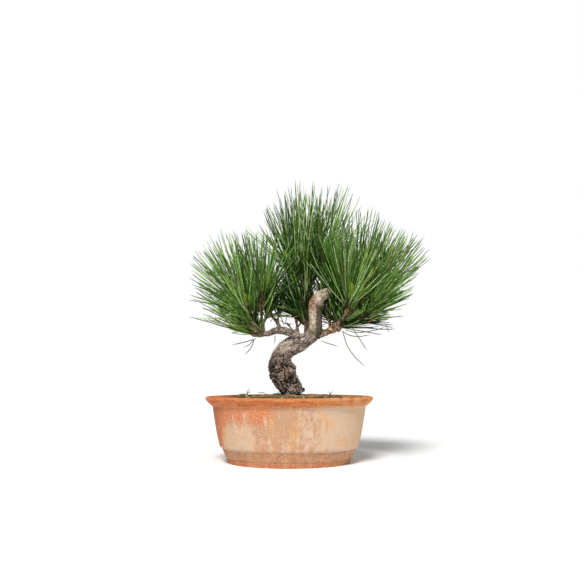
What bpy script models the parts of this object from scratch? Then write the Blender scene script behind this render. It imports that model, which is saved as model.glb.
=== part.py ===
"""A japanese black pine grown as a bonsai, in its oval terracotta pot.

The origin is the middle of the pot's underside, +Z is up and +X runs along the pot's long side.
Sizes below are in millimetres. Blender's own unit is the metre, so meshes are scaled as they are made.
"""

import math
from dataclasses import dataclass

import bmesh
import bpy
import numpy as np

MM = 0.001
GAP = 0.3  # between neighbouring pieces
GOLDEN_ANGLE = math.pi * (3 - math.sqrt(5))
UP = np.array([0.0, 0.0, 1.0])

# Pot: an ellipse in plan at every height, given as (half width, height)
PLAN_RATIO = 0.75  # depth over width
POT_OUTSIDE = (
    (85.0, 0.0), (87.0, 5.7), (86.7, 6.9),  # foot
    (89.0, 8.3), (93.6, 18.7), (93.8, 20.1),  # lower band
    (97.8, 23.1), (102.2, 41.7), (106.6, 65.8), (108.2, 77.8),  # body
    (110.6, 79.0), (115.6, 83.6), (119.0, 88.0), (118.2, 90.4), (116.0, 91.2),  # lip
)
POT_INSIDE = ((111.5, 91.2), (109.3, 88.8), (100.7, 75.8), (94.7, 41.7), (86.5, 13.0), (82.5, 9.0))
DRAIN_RADIUS = 7.0
DRAIN_OFFSET = 45.0  # of each hole from the middle, along the pot
DRAIN_SIDES = 16
DRAIN_BOTTOM = -5.0  # the drain cutters pass both faces of the floor
DRAIN_TOP = 14.0
POT_SIDES = 40

# Soil: a low mound that falls to the wall, as (share of the way out, height), lumpy but under the trunk
SOIL_EDGE = 85.5
SOIL_MOUND = ((0.9, 88.8), (0.76, 91.3), (0.62, 92.4), (0.5, 92.4), (0.38, 92.4), (0.27, 92.4))
SOIL_LUMPS = ((1.5, 5.5, 5.0), (0.9, 8.5, -7.0))  # each wave's height and its run in x and in y

# Trunk
TRUNK_SIDES = 16
FLARE_LOBES = 5
FLARE_DEPTH = 0.09  # of the root swellings, as a share of the trunk's radius
FLARE_PHASE = 0.6  # turn of the first swelling, in radians
FLARE_HEIGHT = 30.0
PATH_SPACING = 6.0
SMOOTH_BARK = 50  # degrees: edges flatter than this are shaded smooth
SMOOTH_POT = 35

# Shoots: they fan from the end of a mass's stem
SHOOT_START = 0.35  # added to a shoot's place in the row, so the first isn't dead on the fan's axis
FOOT_REACH = (0.4, 1.2)  # of a shoot's foot from the fork, in stem lengths
CANDLE_SPREAD = (0.85, 1.1)  # shortest and longest shoot, as shares of the mass's own
SHOOT_LIFT = 0.25  # how strongly a shoot turns up
FOCUS_SHARE = 0.4  # the middle of a shoot's space, as a share of a needle past its bud

# Needles
NEEDLES_EACH = 30  # wanted in a mass
NEEDLE_TRIES = 12  # candidates for each needle that is wanted
NEEDLE_ROOT = 0.85
NEEDLE_TIP = 1.4  # wider than the root, as each one stands for a few real needles that part
NEEDLE_CLEAR = 0.45  # kept between needles of different masses, and from limbs
CROSSING_FREE = 0.08  # share of a needle that may cross its own sisters
STEM_RADIUS = 2.6
TWIG_RADIUS = 1.9
SHOOT_RADIUS = 3.8  # a shoot stands for its bundle of needle sheaths
BUD_RADIUS = 3.0
ROOT_OFFSET = 0.45  # a needle's root off the middle of its shoot, as a share of the shoot's radius
TWIG_LAP = 0.9  # how far a shoot's twig runs back into the stem
TWIG_SIDES = 3
SPACE_OVERLAP = 22.0  # how far a mass may reach past the middle between it and the next
SISTER_SINK = 0.5  # how far a needle may sink into a sister shoot
LOWEST_PITCH = -0.06  # fall of a needle over its length
OPEN_FRONT = ((-22.0, 66.0), -6.0, 246.0)  # x range, y and height in front of the trunk, free of needles
OPEN_FRONT_STEPS = 8  # points along a needle that are tried against that room
ROW_STEP = 0.618  # along its shoot from one needle to the next, wrapped at the bud
ROW_JITTER = 0.05
ROOT_SHARES = (0.05, 0.9)  # where the lowest needle stands on its shoot, and the range above it
OPENING_CURVE = 0.85
OPENING_JITTER = 5.0  # degrees
TURN_JITTER = 0.25  # radians
NEEDLE_LIFT = 0.1
NEEDLE_SPREAD = (0.86, 1.03)  # shortest and longest needle, as shares of the mass's own
NEEDLE_SIDES = 3


@dataclass(frozen=True)
class Limb:
    """One tapering limb, as (x, y, z, radius) along its middle."""

    name: str
    sides: int
    points: tuple


@dataclass(frozen=True)
class Mass:
    """One mass of foliage: a stem off a limb's tip, shoots that fan from it, and needles along them."""

    name: str
    limb: str
    turn: float  # heading in plan, in degrees from +X
    rise: float  # heading above level, in degrees
    shoots: int
    spread: float  # half angle of the fan of shoots
    candle: float  # length of a shoot that carries needles
    wide: float  # opening of the lowest needles, in degrees
    tight: float  # opening of the topmost needles
    needle: float  # longest needle
    seed: int
    stem: float = 4.0


TRUNK = Limb("trunk", TRUNK_SIDES, (
    (6.5, 0, 92.7, 18.6), (4.5, 0, 98, 16.3), (1, 0, 106, 16.6), (-5.4, -1, 114.5, 18.3),
    (-9.8, -2, 125.3, 20), (-11.9, -3, 134.5, 18.4), (-12.2, -3, 142, 16), (-10.5, -3, 149, 14.6),
    (-4.5, -2, 156.5, 14.2), (4.5, 0, 161.7, 14.4), (12.5, 2, 165.6, 13.2), (20.8, 3, 169.6, 11.4),
    (30.5, 3, 174.6, 10), (36, 3, 178, 9),
))

LIMBS = (
    Limb("cut_leader", 12, (
        (35.5, 3, 174, 8.2), (36.5, 3, 183, 7.6), (36.6, 2, 193, 6.7), (36.2, 1, 206, 6.8),
        (36.8, 0, 217.5, 7), (39.6, -1, 227, 7), (43.5, -1.5, 233, 6.4), (50, -2, 236.8, 5.2),
        (59.8, -3, 240.9, 4.2),
    )),
    Limb("left_bough", 10, (
        (17, 0, 171, 6.2), (7.5, -6, 178.4, 6.1), (-6.2, -9, 183.3, 5.8), (-17.8, -10, 184, 5),
        (-27.9, -12, 180.3, 4.3), (-37, -15, 177.8, 3.7), (-44, -17, 176.2, 2.8),
    )),
    Limb("right_bough", 10, (
        (34, 3.4, 176, 6), (42, 4, 179, 5.6), (50, 3, 181, 5), (58.1, 2, 185, 4.6),
        (70.2, 0, 190.1, 4.7), (82, 0, 195.5, 3.1), (98, 2, 203.5, 2.5), (118, 5, 218, 1.9),
    )),
    Limb("top_bough", 8, (
        (27, 5, 171, 5), (25.5, 15, 182, 4.4), (27, 20, 205, 3.7), (25, 22, 236, 2.8),
    )),
    Limb("back_bough", 8, (
        (10, 4, 166, 3.6), (12, 16, 181, 3), (11.5, 23, 191, 2.5), (10.5, 29, 201, 2.1),
    )),
    Limb("left_riser", 8, ((-36, -14.6, 178, 3.4), (-38.6, -13, 196, 2.7), (-39.7, -12, 209, 2.2))),
    Limb("left_out_bough", 6, ((-38.2, -13, 193, 2.2), (-48, -4, 200, 2.1), (-58, 4, 209, 1.9))),
    Limb("left_front_bough", 6, ((-40, -16, 177, 2.4), (-47, -26, 185, 2.2), (-52.5, -32, 193, 1.9))),
    Limb("left_back_bough", 6, (
        (-14, -9.5, 184, 3), (-16, 6, 194, 2.6), (-20, 22, 201, 2.3), (-27, 38, 209, 2),
    )),
    Limb("top_left_bough", 6, ((26.5, 21, 213, 2.6), (15.5, 22, 232, 2.3), (8, 22, 250, 2))),
    Limb("top_right_bough", 6, ((27, 20, 207, 2.7), (37.5, 25, 228, 2.3), (48, 27, 256, 2))),
    Limb("top_back_bough", 6, ((26.5, 21, 219, 2.5), (28, 38, 234, 2.2), (27, 54, 250, 1.9))),
    Limb("right_back_bough", 6, ((56, 2, 184, 3), (62, 18, 192, 2.5), (72, 36, 203, 2))),
    Limb("right_front_bough", 6, ((62.5, 1, 187, 2.8), (69, -14, 194, 2.3), (77, -27, 203, 2))),
    Limb("right_riser", 6, ((71, 0, 190.5, 2.9), (75, -4, 200, 2.4), (78.5, -6, 208, 2))),
    Limb("right_mid_bough", 6, ((79, 0, 194, 2.5), (86, 8, 206, 2.3), (94, 12, 220, 1.9))),
    Limb("right_low_bough", 6, ((83, 0, 196, 2.2), (89, -9, 196.5, 2.1), (95, -15, 198, 1.8))),
)

MASSES = (
    Mass("left_low_needles", "left_bough", 188, 24, 3, 30, 14, 60, 8, 76, 11),
    Mass("left_front_needles", "left_front_bough", 205, 50, 3, 28, 20, 58, 8, 84, 31),
    Mass("left_out_needles", "left_out_bough", 170, 58, 3, 28, 22, 58, 8, 88, 13),
    Mass("left_top_needles", "left_riser", 110, 87, 3, 24, 24, 50, 6, 98, 12),
    Mass("left_back_needles", "left_back_bough", 115, 56, 3, 30, 22, 60, 8, 90, 14),
    Mass("back_needles", "back_bough", 95, 54, 3, 30, 20, 58, 8, 90, 15),
    Mass("top_left_needles", "top_left_bough", 130, 82, 2, 20, 26, 44, 5, 106, 32),
    Mass("top_needles", "top_bough", 100, 88, 3, 20, 42, 44, 4, 118, 16, stem=8.0),
    Mass("top_right_needles", "top_right_bough", 20, 80, 3, 22, 26, 46, 5, 116, 33),
    Mass("top_back_needles", "top_back_bough", 95, 70, 3, 24, 24, 50, 6, 104, 37),
    Mass("right_riser_needles", "right_riser", 300, 86, 3, 24, 22, 54, 6, 108, 18),
    Mass("right_front_needles", "right_front_bough", 310, 56, 3, 28, 20, 55, 8, 92, 34),
    Mass("right_mid_needles", "right_mid_bough", 15, 72, 3, 24, 24, 48, 6, 116, 19),
    Mass("right_out_needles", "right_bough", 0, 60, 3, 26, 22, 48, 6, 102, 40),
    Mass("right_low_needles", "right_low_bough", -14, 30, 3, 30, 18, 60, 8, 88, 21),
    Mass("right_back_needles", "right_back_bough", 60, 56, 3, 30, 22, 56, 8, 98, 22),
)

# Finishes: base colour (linear RGB) and roughness
TERRACOTTA = ((0.62, 0.33, 0.19), 0.85)
SOIL = ((0.10, 0.07, 0.045), 0.95)
OLD_BARK = ((0.13, 0.095, 0.075), 0.9)
GREY_WOOD = ((0.38, 0.30, 0.19), 0.85)
YOUNG_BARK = ((0.19, 0.125, 0.08), 0.85)
NEEDLE_GREEN = ((0.10, 0.18, 0.05), 0.5)


def clear_scene():
    """Takes away whatever a new file starts with."""
    for obj in list(bpy.data.objects):
        bpy.data.objects.remove(obj, do_unlink=True)


def finish_of(name, finish):
    """A Principled material with the piece's own name."""
    colour, roughness = finish
    material = bpy.data.materials.new(name)
    material.use_nodes = True
    shader = material.node_tree.nodes["Principled BSDF"]
    shader.inputs["Base Color"].default_value = (*colour, 1.0)
    shader.inputs["Roughness"].default_value = roughness
    shader.inputs["Metallic"].default_value = 0.0
    return material


def add_object(name, vertices, faces, collection=None):
    """A mesh object from points in millimetres."""
    mesh = bpy.data.meshes.new(name)
    mesh.from_pydata([tuple(float(c) * MM for c in v) for v in vertices], [], faces)
    mesh.validate()
    obj = bpy.data.objects.new(name, mesh)
    (collection or bpy.context.scene.collection).objects.link(obj)
    return obj


def dress(obj, finish, smooth_angle=None):
    """Gives a piece its finish, and smooth shading over edges flatter than an angle in degrees."""
    obj.data.materials.clear()
    obj.data.materials.append(finish_of(obj.name, finish))
    if smooth_angle is not None:
        obj.data.shade_smooth()
        obj.data.set_sharp_from_angle(angle=math.radians(smooth_angle))


def square_to(axis):
    """Two unit vectors square to an axis and to each other."""
    helper = UP if abs(axis[2]) < 0.9 else np.array([1.0, 0.0, 0.0])
    side = np.cross(axis, helper)
    side /= np.linalg.norm(side)
    return side, np.cross(axis, side)


def unit(vector):
    """The vector at a length of one."""
    return vector / np.linalg.norm(vector)


def stacked(rings):
    """Points and faces that join equal rings of points in order, with a face over each end."""
    count = len(rings[0])
    vertices = np.concatenate(rings)
    faces = []
    for level in range(len(rings) - 1):
        low, high = level * count, (level + 1) * count
        for i in range(count):
            j = (i + 1) % count
            faces.append((low + i, low + j, high + j, high + i))
    faces.append(tuple(reversed(range(count))))
    last = (len(rings) - 1) * count
    faces.append(tuple(range(last, last + count)))
    return vertices, faces


def smooth_path(points, spacing=PATH_SPACING):
    """Points at an even spacing on a Catmull-Rom curve, each as x, y, z and radius."""
    points = np.array(points, float)
    ends = np.vstack([2 * points[0] - points[1], points, 2 * points[-1] - points[-2]])
    path = [points[0]]
    for p0, p1, p2, p3 in zip(ends[:-3], ends[1:-2], ends[2:-1], ends[3:]):
        steps = max(1, round(np.linalg.norm(p2[:3] - p1[:3]) / spacing))
        for step in range(1, steps + 1):
            t = step / steps
            path.append(0.5 * (
                2 * p1 + (p2 - p0) * t + (2 * p0 - 5 * p1 + 4 * p2 - p3) * t**2
                + (3 * p1 - p0 - 3 * p2 + p3) * t**3
            ))
    return np.array(path)


def tube_rings(path, sides, grow=0.0, level_foot=False):
    """Rings round a path, carried along it without twisting."""
    tangents = np.gradient(path[:, :3], axis=0)
    tangents /= np.linalg.norm(tangents, axis=1)[:, None]
    if level_foot:
        tangents[0] = UP
    side = square_to(tangents[0])[0]
    angles = 2 * math.pi * np.arange(sides) / sides
    rings = []
    for point, tangent in zip(path, tangents):
        side = unit(side - tangent * (side @ tangent))
        other = np.cross(tangent, side)
        reach = (point[3] + grow) * np.ones(sides)
        rings.append(point[:3] + reach[:, None] * (
            np.cos(angles)[:, None] * side + np.sin(angles)[:, None] * other
        ))
    rings[0] = rings[0] - grow * tangents[0]
    rings[-1] = rings[-1] + grow * tangents[-1]
    return rings


def flared(rings, foot, height):
    """The lowest rings drawn out into roots, less and less up to a height."""
    shaped = []
    for ring in rings:
        middle = ring.mean(axis=0)
        share = max(0.0, 1 - (middle[2] - foot) / height)
        angles = np.arctan2(ring[:, 1] - middle[1], ring[:, 0] - middle[0])
        stretch = 1 + FLARE_DEPTH * share * np.cos(FLARE_LOBES * angles + FLARE_PHASE)
        shaped.append(middle + (ring - middle) * stretch[:, None])
    return shaped


def limb_rings(limb, grow=0.0):
    """A limb's rings, all of them grown by a distance; the trunk's are level and lobed at its foot."""
    path = smooth_path(limb.points)
    if limb is not TRUNK:
        return tube_rings(path, limb.sides, grow)
    return flared(tube_rings(path, limb.sides, grow, level_foot=True), path[0][2], FLARE_HEIGHT)


def apply_boolean(obj, operation, solver="EXACT", other=None, collection=None):
    """A Boolean with one object or a collection, worked out at once into the object's mesh."""
    modifier = obj.modifiers.new(operation.lower(), "BOOLEAN")
    modifier.operation = operation
    modifier.solver = solver
    if collection is None:
        modifier.object = other
    else:
        modifier.operand_type = "COLLECTION"
        modifier.collection = collection
    graph = bpy.context.evaluated_depsgraph_get()
    made = bpy.data.meshes.new_from_object(obj.evaluated_get(graph))
    obj.modifiers.remove(modifier)
    old = obj.data
    obj.data = made
    bpy.data.meshes.remove(old)


def keep_largest_shell(obj):
    """Drops loose scraps and fills sealed hollows: only the shell that reaches furthest stays."""
    shape = bmesh.new()
    shape.from_mesh(obj.data)
    unseen = set(shape.verts)
    shells = []
    while unseen:
        shell, front = set(), [unseen.pop()]
        while front:
            vertex = front.pop()
            shell.add(vertex)
            for edge in vertex.link_edges:
                other = edge.other_vert(vertex)
                if other in unseen:
                    unseen.discard(other)
                    front.append(other)
        shells.append(shell)

    def reach(shell):
        """The diagonal of a shell's box."""
        places = np.array([v.co for v in shell])
        return float(np.linalg.norm(places.max(axis=0) - places.min(axis=0)))

    shells.sort(key=reach)
    for shell in shells[:-1]:
        bmesh.ops.delete(shape, geom=list(shell), context="VERTS")
    shape.to_mesh(obj.data)
    shape.free()


def oval(half_width, height, shrink=0.0):
    """One ring of the pot's plan, drawn in by a distance all round."""
    angles = 2 * math.pi * np.arange(POT_SIDES) / POT_SIDES
    wide, deep = half_width - shrink, half_width * PLAN_RATIO - shrink
    return np.stack([wide * np.cos(angles), deep * np.sin(angles), np.full(POT_SIDES, height)], axis=1)


def build_pot():
    """The pot, with a round drain hole through its floor on either side."""
    pot = add_object("pot", *stacked([oval(*point) for point in POT_OUTSIDE + POT_INSIDE]))
    angles = 2 * math.pi * np.arange(DRAIN_SIDES) / DRAIN_SIDES
    hole = DRAIN_RADIUS * np.stack([np.cos(angles), np.sin(angles), np.zeros(DRAIN_SIDES)], axis=1)
    for side in (-1, 1):
        ring = hole + [side * DRAIN_OFFSET, 0, 0]
        drain = add_object("drain", *stacked([ring + DRAIN_BOTTOM * UP, ring + DRAIN_TOP * UP]))
        apply_boolean(pot, "DIFFERENCE", other=drain)
        bpy.data.objects.remove(drain)
    dress(pot, TERRACOTTA, smooth_angle=SMOOTH_POT)


def soil_lumps(points):
    """How far clumps of moss and crumb stand above or below the mound."""
    x, y, _ = points.T
    return sum(height * np.sin(x / run_x + 1) * np.sin(y / run_y + 2) for height, run_x, run_y in SOIL_LUMPS)


def build_soil():
    """The soil: it follows the pot's inner wall, with a mound on top that is level round the trunk."""
    wall = POT_INSIDE[::-1]
    widths, heights = zip(*wall)
    edge = float(np.interp(SOIL_EDGE, heights, widths))
    floor_width, floor_height = wall[0]
    rings = [oval(floor_width, floor_height + GAP, GAP)]
    rings += [oval(width, height, GAP) for width, height in wall[1:] if height < SOIL_EDGE]
    rings.append(oval(edge, SOIL_EDGE, GAP))
    for share, height in SOIL_MOUND:
        ring = oval(edge * share, height)
        if share > SOIL_MOUND[-1][0]:
            ring[:, 2] += soil_lumps(ring)
        rings.append(ring)
    soil = add_object("soil", *stacked(rings))
    dress(soil, SOIL)


def build_limbs():
    """The trunk, then each limb, cut clear of those before it."""
    built = []
    for limb in (TRUNK, *LIMBS):
        obj = add_object(limb.name, *stacked(limb_rings(limb)))
        low, high = limb_box(limb)
        for earlier, (other_low, other_high) in built:
            if (low > other_high + 1).any() or (high < other_low - 1).any():
                continue
            cutter = add_object("cutter", *stacked(limb_rings(earlier, grow=GAP)))
            apply_boolean(obj, "DIFFERENCE", other=cutter)
            bpy.data.objects.remove(cutter)
        keep_largest_shell(obj)
        built.append((limb, (low, high)))
        dress(obj, finish_for(limb), smooth_angle=SMOOTH_BARK)


def limb_box(limb):
    """The corners of a limb's box."""
    points = np.concatenate(limb_rings(limb))
    return points.min(axis=0), points.max(axis=0)


def finish_for(limb):
    """A limb's bark: old on the trunk, bare grey on the cut leader, young on the boughs."""
    if limb is TRUNK:
        return OLD_BARK
    return GREY_WOOD if limb.name == "cut_leader" else YOUNG_BARK


class Fence:
    """Tapering segments that a new needle has to stay clear of."""

    def __init__(self):
        self.rows = np.empty((0, 8))

    def add(self, start, end, start_radius, end_radius):
        """Puts one more segment in."""
        self.rows = np.vstack([self.rows, [*start, *end, start_radius, end_radius]])

    def lets_through(self, start, end, start_radius, end_radius, gap, ignore_start=0.0):
        """Whether a segment stays a gap clear, leaving out the first share of it and of the others."""
        if not len(self.rows):
            return True
        first, last = self.rows[:, :3], self.rows[:, 3:6]
        along, others = end - start, last - first
        between = start - first
        a, e = along @ along, (others * others).sum(axis=1)
        b, c, f = others @ along, between @ along, (others * between).sum(axis=1)
        scale = np.maximum(a * e - b * b, 1e-9)
        s = np.clip((b * f - c * e) / scale, ignore_start, 1)
        t = np.clip((b * s + f) / e, ignore_start, 1)
        s = np.clip((b * t - c) / a, ignore_start, 1)
        apart = np.linalg.norm(between + s[:, None] * along - t[:, None] * others, axis=1)
        radii = start_radius + (end_radius - start_radius) * s
        radii = radii + self.rows[:, 6] + (self.rows[:, 7] - self.rows[:, 6]) * t
        return bool((apart > radii + gap).all())


def limb_end(name):
    """A limb's tip and its heading there."""
    path = smooth_path(next(limb for limb in LIMBS if limb.name == name).points)
    return path[-1][:3], unit(path[-1][:3] - path[-2][:3])


def shoots_of(mass):
    """Where a mass's stem starts and forks, and each shoot's foot and tip."""
    random = np.random.default_rng(mass.seed)
    tip, along = limb_end(mass.limb)
    turn, rise = math.radians(mass.turn), math.radians(mass.rise)
    axis = np.array([math.cos(turn) * math.cos(rise), math.sin(turn) * math.cos(rise), math.sin(rise)])
    start = tip + GAP * along
    fork = start + mass.stem * (along + axis) / 2
    side, other = square_to(axis)
    first = random.uniform(0, 2 * math.pi)
    shoots = []
    for i in range(mass.shoots):
        tilt = math.radians(mass.spread) * math.sqrt((i + SHOOT_START) / mass.shoots)
        round_axis = first + i * 2 * math.pi / mass.shoots
        out = math.cos(round_axis) * side + math.sin(round_axis) * other
        heading = math.cos(tilt) * axis + math.sin(tilt) * out
        foot = fork + mass.stem * random.uniform(*FOOT_REACH) * heading
        candle = mass.candle * random.uniform(*CANDLE_SPREAD)
        shoots.append((foot, foot + candle * unit(heading + SHOOT_LIFT * UP)))
    return start, fork, shoots


def focus_points(mass):
    """The middle of the space that each of a mass's shoots fills."""
    _, _, shoots = shoots_of(mass)
    return np.array([tip + FOCUS_SHARE * mass.needle * unit(tip - foot) for foot, tip in shoots])


def candidate_needles(mass, each, random):
    """Needles round a mass's shoots by the golden angle, wide at the foot and tight at the bud."""
    _, _, shoots = shoots_of(mass)
    for order in range(each):
        for shoot, (foot, tip) in enumerate(shoots):
            share = ((order * ROW_STEP) % 1 + random.uniform(0, ROW_JITTER)) % 1
            axis = unit(tip - foot)
            side, other = square_to(axis)
            opening = mass.wide + (mass.tight - mass.wide) * share**OPENING_CURVE
            opening = math.radians(opening + random.normal(0, OPENING_JITTER))
            round_axis = order * GOLDEN_ANGLE + random.normal(0, TURN_JITTER)
            out = math.cos(round_axis) * side + math.sin(round_axis) * other
            heading = unit(math.cos(opening) * axis + math.sin(opening) * out + NEEDLE_LIFT * UP)
            length = mass.needle * random.uniform(*NEEDLE_SPREAD)
            core = SHOOT_RADIUS + (BUD_RADIUS - SHOOT_RADIUS) * share
            lowest, range_above = ROOT_SHARES
            root = foot + (tip - foot) * (lowest + range_above * share) + ROOT_OFFSET * core * out
            yield shoot, root, root + length * heading


def in_own_space(tip, own, others):
    """Whether a needle's tip is in its mass's space, or only a little past its border."""
    nearest_own = np.linalg.norm(own - tip, axis=1).min()
    return nearest_own < np.linalg.norm(others - tip, axis=1).min() + SPACE_OVERLAP


def hides_the_trunk(root, tip):
    """Whether a needle enters the open room in front of the trunk."""
    (left, right), front, top = OPEN_FRONT
    along = root + np.linspace(0, 1, OPEN_FRONT_STEPS)[:, None] * (tip - root)
    x, y, z = along.T
    return bool(((x > left) & (x < right) & (y < front) & (z < top)).any())


def needle_rings(root, tip):
    """The rings at both ends of a needle."""
    side, other = square_to(unit(tip - root))
    angles = 2 * math.pi * np.arange(NEEDLE_SIDES) / NEEDLE_SIDES
    circle = np.cos(angles)[:, None] * side + np.sin(angles)[:, None] * other
    return [root + NEEDLE_ROOT * circle, tip + NEEDLE_TIP * circle]


def limb_fence():
    """The trunk and all boughs, for needles to stay clear of."""
    fence = Fence()
    for limb in (TRUNK, *LIMBS):
        path = smooth_path(limb.points)
        for a, b in zip(path[:-1], path[1:]):
            fence.add(a[:3], b[:3], a[3], b[3])
    return fence


def twig_fence(mass):
    """A mass's stem and shoots, for other masses' needles to stay clear of."""
    fence = Fence()
    start, fork, shoots = shoots_of(mass)
    fence.add(start, fork, STEM_RADIUS, STEM_RADIUS)
    for foot, tip in shoots:
        fence.add(fork, foot, TWIG_RADIUS, SHOOT_RADIUS)
        fence.add(foot, tip, SHOOT_RADIUS, BUD_RADIUS)
    return fence


def sister_shoot_fences(mass):
    """For each shoot of a mass, the others of the same mass."""
    _, _, shoots = shoots_of(mass)
    fences = [Fence() for _ in shoots]
    for shoot, (foot, tip) in enumerate(shoots):
        for other, fence in enumerate(fences):
            if other != shoot:
                fence.add(foot, tip, SHOOT_RADIUS, BUD_RADIUS)
    return fences


def needles_of(mass, obstacles):
    """The needles of a mass that keep to its space, clear of the obstacles and of one another."""
    own = focus_points(mass)
    others = np.concatenate([focus_points(m) for m in MASSES if m is not mass])
    random = np.random.default_rng(mass.seed + 1000)
    sisters, sister_shoots = Fence(), sister_shoot_fences(mass)
    kept = []
    for shoot, root, tip in candidate_needles(mass, NEEDLES_EACH * NEEDLE_TRIES // mass.shoots, random):
        if len(kept) == NEEDLES_EACH:
            break
        if tip[2] - root[2] < LOWEST_PITCH * np.linalg.norm(tip - root):
            continue
        if not in_own_space(tip, own, others) or hides_the_trunk(root, tip):
            continue
        size = (root, tip, NEEDLE_ROOT, NEEDLE_TIP)
        if not all(fence.lets_through(*size, NEEDLE_CLEAR) for fence in obstacles):
            continue
        if not sister_shoots[shoot].lets_through(*size, -SISTER_SINK):
            continue
        if not sisters.lets_through(*size, 0.0, ignore_start=CROSSING_FREE):
            continue
        sisters.add(*size)
        kept.append((root, tip))
    return kept


def build_masses():
    """Each mass of needles, kept in its own space and clear of limbs and of the masses before it."""
    limbs = limb_fence()
    twigs = {mass.name: twig_fence(mass) for mass in MASSES}
    needles_before = Fence()
    for mass in MASSES:
        other_twigs = [fence for name, fence in twigs.items() if name != mass.name]
        kept = needles_of(mass, [limbs, needles_before, *other_twigs])
        join_mass(mass, kept)
        for root, tip in kept:
            needles_before.add(root, tip, NEEDLE_ROOT, NEEDLE_TIP)


def join_mass(mass, needles):
    """One solid from a mass's stem, shoots and needles."""
    start, fork, shoots = shoots_of(mass)
    _, along = limb_end(mass.limb)
    square_end = start + STEM_RADIUS / 2 * along  # the stem leaves square to the limb's cut, so clear of it
    stem = np.array([[*start, STEM_RADIUS], [*square_end, STEM_RADIUS], [*fork, STEM_RADIUS]])
    obj = add_object(mass.name, *stacked(tube_rings(stem, TWIG_SIDES)))
    parts = bpy.data.collections.new("parts of " + mass.name)
    bpy.context.scene.collection.children.link(parts)
    for foot, tip in shoots:
        back = fork - TWIG_LAP * unit(foot - fork)
        path = np.array([[*back, TWIG_RADIUS], [*foot, SHOOT_RADIUS], [*tip, BUD_RADIUS]])
        add_object("shoot", *stacked(tube_rings(path, TWIG_SIDES)), parts)
    for root, tip in needles:
        add_object("needle", *stacked(needle_rings(root, tip)), parts)
    apply_boolean(obj, "UNION", solver="MANIFOLD", collection=parts)
    for part in list(parts.objects):
        bpy.data.objects.remove(part)
    bpy.data.collections.remove(parts)
    keep_largest_shell(obj)
    dress(obj, NEEDLE_GREEN)


def main():
    """Builds every piece of the tree and its pot."""
    clear_scene()
    build_pot()
    build_soil()
    build_limbs()
    build_masses()


main()
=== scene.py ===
"""A japanese black pine grown as a bonsai in an oval terracotta pot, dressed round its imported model.

Sizes are in millimetres and meshes are scaled to Blender's metres as they are made. The origin is the
middle of the pot's underside, +X runs along the pot, +Z is up and the tree's front looks towards -Y.
"""

import logging
import math
from collections.abc import Callable, Iterator, Sequence
from dataclasses import dataclass
from enum import Enum
from typing import ClassVar

import bpy
import numpy as np
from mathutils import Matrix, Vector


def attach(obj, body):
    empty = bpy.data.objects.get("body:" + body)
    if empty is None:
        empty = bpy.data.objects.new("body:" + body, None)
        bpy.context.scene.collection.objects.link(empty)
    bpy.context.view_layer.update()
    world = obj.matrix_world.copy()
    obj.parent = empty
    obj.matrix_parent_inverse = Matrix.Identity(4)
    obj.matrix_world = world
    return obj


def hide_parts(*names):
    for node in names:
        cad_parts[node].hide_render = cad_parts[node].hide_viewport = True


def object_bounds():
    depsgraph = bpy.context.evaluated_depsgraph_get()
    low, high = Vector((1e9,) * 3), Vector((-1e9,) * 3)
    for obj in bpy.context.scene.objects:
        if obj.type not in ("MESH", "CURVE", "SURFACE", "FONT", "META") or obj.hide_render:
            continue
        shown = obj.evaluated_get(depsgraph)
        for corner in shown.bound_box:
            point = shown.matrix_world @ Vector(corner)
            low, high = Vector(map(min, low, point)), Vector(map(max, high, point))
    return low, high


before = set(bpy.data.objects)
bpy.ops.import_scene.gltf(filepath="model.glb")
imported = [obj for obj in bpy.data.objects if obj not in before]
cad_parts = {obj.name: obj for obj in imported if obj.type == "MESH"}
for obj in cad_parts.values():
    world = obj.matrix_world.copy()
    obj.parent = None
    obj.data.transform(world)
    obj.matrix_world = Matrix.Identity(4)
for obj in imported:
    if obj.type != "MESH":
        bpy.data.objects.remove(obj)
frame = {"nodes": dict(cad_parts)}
CAD_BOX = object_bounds()

LOG = logging.getLogger("pine")
MM = 0.001
GAP = 0.3
GOLDEN_ANGLE = math.pi * (3 - math.sqrt(5))
UP = np.array([0.0, 0.0, 1.0])
PLAN_RATIO = 0.75  # the pot's depth over its width

Colour = tuple[float, float, float]
Where = dict[str, np.ndarray]
Relief = tuple[np.ndarray, dict[str, np.ndarray]]


# Shader and geometry nodes


class Value:
    """A node's output socket, with arithmetic that adds Math nodes."""

    def __init__(self, graph: "Graph", socket: bpy.types.NodeSocket) -> None:
        """Keeps the socket and the graph that it is in."""
        self.graph = graph
        self.socket = socket

    def _math(self, operation: str, *operands: "Value | float") -> "Value":
        """One Math node over the operands."""
        return self.graph.node("ShaderNodeMath", {"operation": operation}, *operands)

    def __add__(self, other: "Value | float") -> "Value":
        """Sum."""
        return self._math("ADD", self, other)

    __radd__ = __add__

    def __mul__(self, other: "Value | float") -> "Value":
        """Product."""
        return self._math("MULTIPLY", self, other)

    __rmul__ = __mul__

    def __sub__(self, other: "Value | float") -> "Value":
        """Difference."""
        return self._math("SUBTRACT", self, other)

    def __rsub__(self, other: float) -> "Value":
        """Difference from a number."""
        return self._math("SUBTRACT", other, self)

    def __abs__(self) -> "Value":
        """Size without sign."""
        return self._math("ABSOLUTE", self)

    def ramp(self, low: float, high: float) -> "Value":
        """A smooth climb from 0 at one value to 1 at another.

        Args:
            low: The value that gives 0.
            high: The value that gives 1; below low for a fall.

        Returns:
            The climb, held at 0 and 1 outside the two values.
        """
        settings = {"interpolation_type": "SMOOTHSTEP"}
        if low < high:
            return self.graph.node("ShaderNodeMapRange", settings, self, low, high, 0.0, 1.0)
        return self.graph.node("ShaderNodeMapRange", settings, self, high, low, 1.0, 0.0)


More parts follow.
